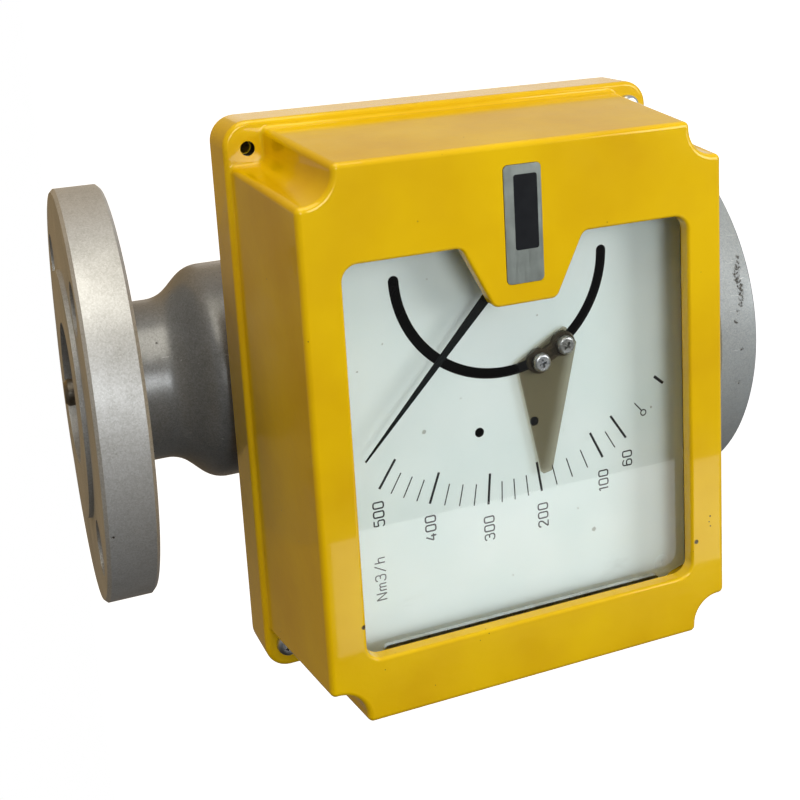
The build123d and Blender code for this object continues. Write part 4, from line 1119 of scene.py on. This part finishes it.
@dataclass
class PointerBlade:
    """Pointer: a long blade that tapers to its tip, with the ring that holds it on the hub."""

    front_y: float = FRONT_Y + 10.2
    thickness: float = 0.8
    angle: float = 137.5
    tail: float = 14.0
    reach: float = 74.8
    root_width: float = 4.3
    tip_width: float = 0.36
    tip_shift: float = -1.17
    ring: float = 10.0
    ring_hole: float = 5.0
    hole_length: float = 28.0
    edge: float = 0.12

    def build(self, shop: FinishShop) -> None:
        """Makes the pointer.

        Args:
            shop: where the finish comes from.
        """
        size = (self.tail + self.reach, self.thickness, self.root_width)
        blade = box("pointer_blade", size, ((self.reach - self.tail) / 2, 0.0, 0.0))
        pick(blade, "FACE", lambda middle, normal: normal.x > LOOKS_ALONG)
        bpy.ops.transform.resize(
            value=(1.0, 1.0, self.tip_width / self.root_width), center_override=(0.0, 0.0, 0.0)
        )
        bpy.ops.transform.translate(value=metres((0.0, 0.0, self.tip_shift)))
        pick(blade, "EDGE", lambda middle, along: abs(along.x) > LOOKS_ALONG)
        bpy.ops.mesh.bevel(offset=self.edge * MM, segments=2)
        bpy.ops.object.mode_set(mode="OBJECT")
        middle_y = self.front_y + self.thickness / 2
        hang(blade, middle_y, self.angle)
        ring = rod(PIVOT_X, CASE_Z, self.ring, self.thickness)
        ring.data.transform(Matrix.Translation(metres((0.0, middle_y - DIAL_Y, 0.0))))
        carve(blade, [ring], "UNION")
        carve(blade, [rod(PIVOT_X, CASE_Z, self.ring_hole, self.hole_length)])
        smooth(blade)
        shop.dress(blade, "pointer_group", Slot.POINTER_BLACK)
        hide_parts("pointer")


@dataclass
class CrossScrew:
    """Pan-head screw with a cross recess, modelled once and copied to its places.

    Attributes:
        name: the piece's name.
        stands_for: the CAD node that it replaces.
        body: the body that it rides on.
        seat_y: where its head bears.
        places: X and Z of each screw.
        finish: its finish, or None for zinc.
    """

    name: str
    stands_for: str
    body: str
    seat_y: float
    places: Sequence[tuple[float, float]]
    head_diameter: float
    head_height: float
    shank_diameter: float
    shank_length: float
    recess_share: float = 0.62
    recess_width: float = 0.17
    recess_depth: float = 0.7
    recess_taper: float = 0.45
    rounding: float = 0.62
    turns: Sequence[float] = (12.0, 50.0, 31.0, 74.0)
    finish: DialEnamel | None = None

    def recess(self) -> Piece:
        """Cutter of the cross recess: two tapered blades that cross.

        Returns:
            The cutter, standing over the head.
        """
        size = (
            self.head_diameter * self.recess_share,
            self.head_diameter * self.recess_width,
            2 * self.recess_depth * self.head_height,
        )
        blades = []
        for turn in (0.0, 90.0):
            blade = box("recess_blade", size, (0.0, 0.0, self.head_height), turn)
            pick(blade, "FACE", lambda middle, normal: normal.z < -LOOKS_ALONG)
            bpy.ops.transform.resize(
                value=(self.recess_taper, self.recess_taper, 1.0), center_override=(0.0, 0.0, 0.0)
            )
            bpy.ops.object.mode_set(mode="OBJECT")
            blades.append(blade)
        carve(blades[0], blades[1:], "UNION")
        return blades[0]

    def master(self) -> Piece:
        """One screw at the origin with its head up.

        Returns:
            The screw.
        """
        radius = self.head_diameter / 2 * MM
        height = self.head_height * MM
        bpy.ops.mesh.primitive_cylinder_add(
            vertices=40, radius=radius, depth=height, location=(0.0, 0.0, height / 2)
        )
        screw = bpy.context.object
        bpy.ops.object.transform_apply(location=True)
        bpy.ops.object.mode_set(mode="EDIT")
        pick(screw, "FACE", lambda middle, normal: normal.z < -LOOKS_ALONG)
        share = self.shank_diameter / self.head_diameter
        bpy.ops.mesh.inset(thickness=radius * (1 - share))
        bpy.ops.mesh.extrude_region_move(
            TRANSFORM_OT_translate={"value": (0.0, 0.0, -self.shank_length * MM)}
        )
        pick(screw, "EDGE", lambda middle, along: middle.z > 0.99 * height and abs(along.z) < 0.1)
        bpy.ops.mesh.bevel(offset=self.rounding * height, segments=6, profile=0.5)
        bpy.ops.object.mode_set(mode="OBJECT")
        carve(screw, [self.recess()])
        return screw

    def build(self, shop: FinishShop) -> None:
        """Puts a screw at each place.

        Args:
            shop: where the finish comes from.
        """
        master = self.master()
        copies = []
        for index, (x, z) in enumerate(self.places):
            copy = bpy.data.objects.new(f"{self.name}_{index}", master.data.copy())
            bpy.context.scene.collection.objects.link(copy)
            turn = Matrix.Rotation(math.radians(self.turns[index]), 4, "Z")
            face_front = Matrix.Rotation(math.radians(90), 4, "X")
            copy.data.transform(Matrix.Translation(metres((x, self.seat_y, z))) @ face_front @ turn)
            copies.append(copy)
        bpy.data.objects.remove(master)
        bpy.ops.object.select_all(action="DESELECT")
        for copy in copies:
            copy.select_set(True)
        bpy.context.view_layer.objects.active = copies[0]
        bpy.ops.object.join()
        piece = bpy.context.object
        piece.name = self.name
        smooth(piece)
        shop.dress(piece, self.body, Slot.ZINC, self.finish)
        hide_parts(self.stands_for)


@dataclass
class Screws:
    """The screws that show: those of the cover, of the set-point marker and of the dial."""

    cover_x: float = EAR_X
    cover_z: float = EAR_Z
    cover_depth: float = 52.7
    set_radius: float = 36.35
    set_angle: float = 206.7
    set_half_angle: float = 7.85
    set_depth: float = 14.4
    dial_x: float = 70.0
    dial_z: float = 57.5

    def build(self, shop: FinishShop) -> None:
        """Makes the three sets of screws.

        Args:
            shop: where the finishes come from.
        """
        corners = [(-1, -1), (-1, 1), (1, -1)]
        CrossScrew(
            "cover_screw_heads", "cover_screws", "frame", FRONT_Y + self.cover_depth,
            [(CASE_X + x * self.cover_x, CASE_Z + z * self.cover_z) for x, z in corners],
            head_diameter=8.4, head_height=2.6, shank_diameter=4.0, shank_length=14.0,
        ).build(shop)
        CrossScrew(
            "set_point_screw_heads", "set_point_screws", "set_point_group", FRONT_Y + self.set_depth,
            [at_pivot(self.set_radius, self.set_angle + side * self.set_half_angle) for side in (-1, 1)],
            head_diameter=6.2, head_height=1.6, shank_diameter=2.4, shank_length=9.1,
        ).build(shop)
        CrossScrew(
            "dial_screw_heads", "scale_screws", "frame", DIAL_Y,
            [(CASE_X + x * self.dial_x, CASE_Z + z * self.dial_z) for x, z in (*corners, (1, 1))],
            head_diameter=5.5, head_height=0.1, shank_diameter=3.0, shank_length=8.0,
            finish=Slot.DIAL_WHITE.value,
        ).build(shop)


@dataclass
class PlatePanel:
    """Plain dark panel printed on the nameplate."""

    low_x: float = 60.8
    high_x: float = 83.9
    low_z: float = 115.55
    high_z: float = 123.4
    corner: float = 0.8
    face_y: float = FRONT_Y - 0.2
    proud: float = 0.04

    def build(self, shop: FinishShop) -> None:
        """Makes the panel.

        Args:
            shop: where the finish comes from.
        """
        size = (self.high_x - self.low_x, 2 * self.proud, self.high_z - self.low_z)
        middle = ((self.low_x + self.high_x) / 2, self.face_y, (self.low_z + self.high_z) / 2)
        panel = box("nameplate_panel", size, middle)
        pick(panel, "EDGE", lambda middle, along: abs(along.y) > LOOKS_ALONG)
        bpy.ops.mesh.bevel(offset=self.corner * MM, segments=6)
        bpy.ops.object.mode_set(mode="OBJECT")
        ink = Moulded(
            "panel_ink", shade(18, 20, 24), shade(27, 29, 32), rough=0.5, grain=0.3, relief=0.004, shine=0.12
        )
        shop.dress(panel, "frame", Slot.NAMEPLATE_METAL, ink)


@dataclass
class Lamp:
    """A soft box.

    Attributes:
        name: its name.
        place: where it stands.
        target: what it points at.
        size: its width and height.
        power: its power in watts.
        colour: its light's colour.
        on_surfaces: whether it lights surfaces, or only shows in what is glossy.
        in_gloss: whether it shows in what is glossy.
    """

    name: str
    place: Place
    target: Place
    size: tuple[float, float]
    power: float
    colour: Colour = (1.0, 1.0, 1.0)
    on_surfaces: bool = True
    in_gloss: bool = True

    def build(self) -> None:
        """Hangs the lamp."""
        data = bpy.data.lights.new(self.name, "AREA")
        data.shape = "RECTANGLE"
        data.size = self.size[0] * MM
        data.size_y = self.size[1] * MM
        data.energy = self.power
        data.color = self.colour
        lamp = bpy.data.objects.new(self.name, data)
        bpy.context.scene.collection.objects.link(lamp)
        lamp.location = metres(self.place)
        aim = metres(self.target) - lamp.location
        lamp.rotation_euler = aim.to_track_quat("-Z", "Y").to_euler()
        lamp.visible_camera = False
        lamp.visible_diffuse = self.on_surfaces
        lamp.visible_glossy = self.in_gloss


@dataclass
class Studio:
    """Pale floor, soft light and the camera of the photograph."""

    camera_place: Place = (142.46, -415.96, 273.88)
    camera_right: Place = (-0.06541681, -0.32799959, -0.94241016)
    camera_down: Place = (-0.98177091, -0.14774539, 0.11957081)
    focal_pixels: float = 1128.755
    centre_pixels: tuple[float, float] = (350.55, 189.84)
    picture_pixels: float = 800.0
    sensor: float = 36.0
    floor_size: float = 9000.0
    floor_drop: float = 0.4
    room_level: float = 0.3
    room_lean: Place = (0.26, 0.1, -0.04)
    room_white: Colour = (1.0, 1.0, 1.0)
    room_brown: Colour = (0.95, 0.6, 0.22)
    brown_side: Place = (0.1, 0.9, 0.5)
    lamps: tuple[Lamp, ...] = (
        Lamp("key", (215.0, -700.0, -470.0), (6.0, -110.0, 120.0), (400.0, 400.0), 2.9, (0.98, 0.99, 1.0)),
        Lamp(
            "window", (234.0, -1030.0, 160.0), (6.0, -110.0, 120.0), (300.0, 300.0), 2.2, (0.95, 0.98, 1.0)
        ),
        Lamp("top", (760.0, -310.0, 180.0), (6.0, -60.0, 120.0), (700.0, 500.0), 3.2, (1.0, 0.94, 0.8)),
        Lamp("front", (20.0, -950.0, 100.0), (6.0, -110.0, 120.0), (500.0, 500.0), 0.95, in_gloss=False),
        Lamp(
            "side", (60.0, -60.0, 950.0), (6.0, -60.0, 120.0), (500.0, 400.0), 0.8, (1.0, 0.8, 0.4),
            in_gloss=False,
        ),
        Lamp("strip", (640.0, -480.0, 100.0), (6.0, -110.0, 120.0), (420.0, 14.0), 0.12, on_surfaces=False),
        Lamp(
            "horizon", (330.0, 1500.0, -600.0), (330.0, 0.0, -600.0), (600.0, 1400.0), 1.1, on_surfaces=False
        ),
        Lamp(
            "card", (-390.0, -700.0, -190.0), (-390.0, 0.0, -190.0), (110.0, 420.0), 0.3, on_surfaces=False
        ),
    )

    def build(self) -> None:
        """Sets up the studio."""
        self.build_floor()
        self.build_world()
        for lamp in self.lamps:
            lamp.build()
        self.build_camera()

    def build_floor(self) -> None:
        """Lays the floor that the inlet flange stands on."""
        bpy.ops.mesh.primitive_plane_add(
            size=self.floor_size * MM, location=metres((0.0, 0.0, -self.floor_drop))
        )
        floor = bpy.context.object
        floor.name = "floor"
        paper = Surface("floor_paper")
        paper.set(Base_Color=(0.8, 0.8, 0.8), Roughness=0.9, Specular_IOR_Level=0.1)
        paper.set(Emission_Color=(1.0, 1.0, 1.0), Emission_Strength=1.0)
        floor.data.materials.append(paper.material)
        floor.visible_shadow = False
        floor.visible_diffuse = False
        floor.visible_glossy = False

    def build_world(self) -> None:
        """Fills the room with soft light that leans to one side, behind a plain white backdrop."""
        world = bpy.data.worlds.new("room")
        world.use_nodes = True
        tree = world.node_tree
        towards = tree.nodes.new("ShaderNodeTexCoord").outputs["Generated"]
        seen = tree.nodes.new("ShaderNodeLightPath").outputs["Is Camera Ray"]
        lean = math_step(tree, "VectorMath", "DOT_PRODUCT", (towards, self.room_lean))
        level = math_step(tree, "Math", "ADD", (lean, self.room_level))
        strength = math_step(tree, "Math", "MAXIMUM", (level, seen))
        side = math_step(tree, "VectorMath", "DOT_PRODUCT", (towards, self.brown_side))
        unseen = math_step(tree, "Math", "SUBTRACT", (1.0, seen))
        warmth = math_step(tree, "Math", "MULTIPLY", (side, unseen))
        warmth.node.use_clamp = True
        tone = tree.nodes.new("ShaderNodeMix")
        tone.data_type = "RGBA"
        tone.inputs[6].default_value = (*self.room_white, 1.0)
        tone.inputs[7].default_value = (*self.room_brown, 1.0)
        tree.links.new(warmth, tone.inputs["Factor"])
        background = tree.nodes["Background"]
        tree.links.new(tone.outputs[2], background.inputs["Color"])
        tree.links.new(strength, background.inputs["Strength"])
        bpy.context.scene.world = world
        bpy.context.scene.view_settings.view_transform = "Standard"

    def build_camera(self) -> None:
        """Stands the camera where the photograph was taken from."""
        data = bpy.data.cameras.new("photo_camera")
        data.sensor_width = self.sensor
        data.lens = self.focal_pixels * self.sensor / self.picture_pixels
        half = self.picture_pixels / 2
        data.shift_x = (half - self.centre_pixels[0]) / self.picture_pixels
        data.shift_y = (self.centre_pixels[1] - half) / self.picture_pixels
        data.clip_start = 0.01
        data.clip_end = 50.0
        camera = bpy.data.objects.new("photo_camera", data)
        bpy.context.scene.collection.objects.link(camera)
        right = Vector(self.camera_right).normalized()
        up = -Vector(self.camera_down).normalized()
        back = right.cross(up)
        turn = Matrix((right, up, back)).transposed().to_4x4()
        camera.matrix_world = Matrix.Translation(metres(self.camera_place)) @ turn
        bpy.context.scene.camera = camera


def main() -> None:
    """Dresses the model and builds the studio."""
    logging.basicConfig(level=logging.INFO, format="%(name)s: %(message)s")
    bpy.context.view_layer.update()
    shop = FinishShop()
    shop.dress_nodes()
    DialPlate().build(shop)
    PointerBlade().build(shop)
    Dial().build(shop)
    Screws().build(shop)
    PlatePanel().build(shop)
    Studio().build()


if __name__ == "__main__":
    main()
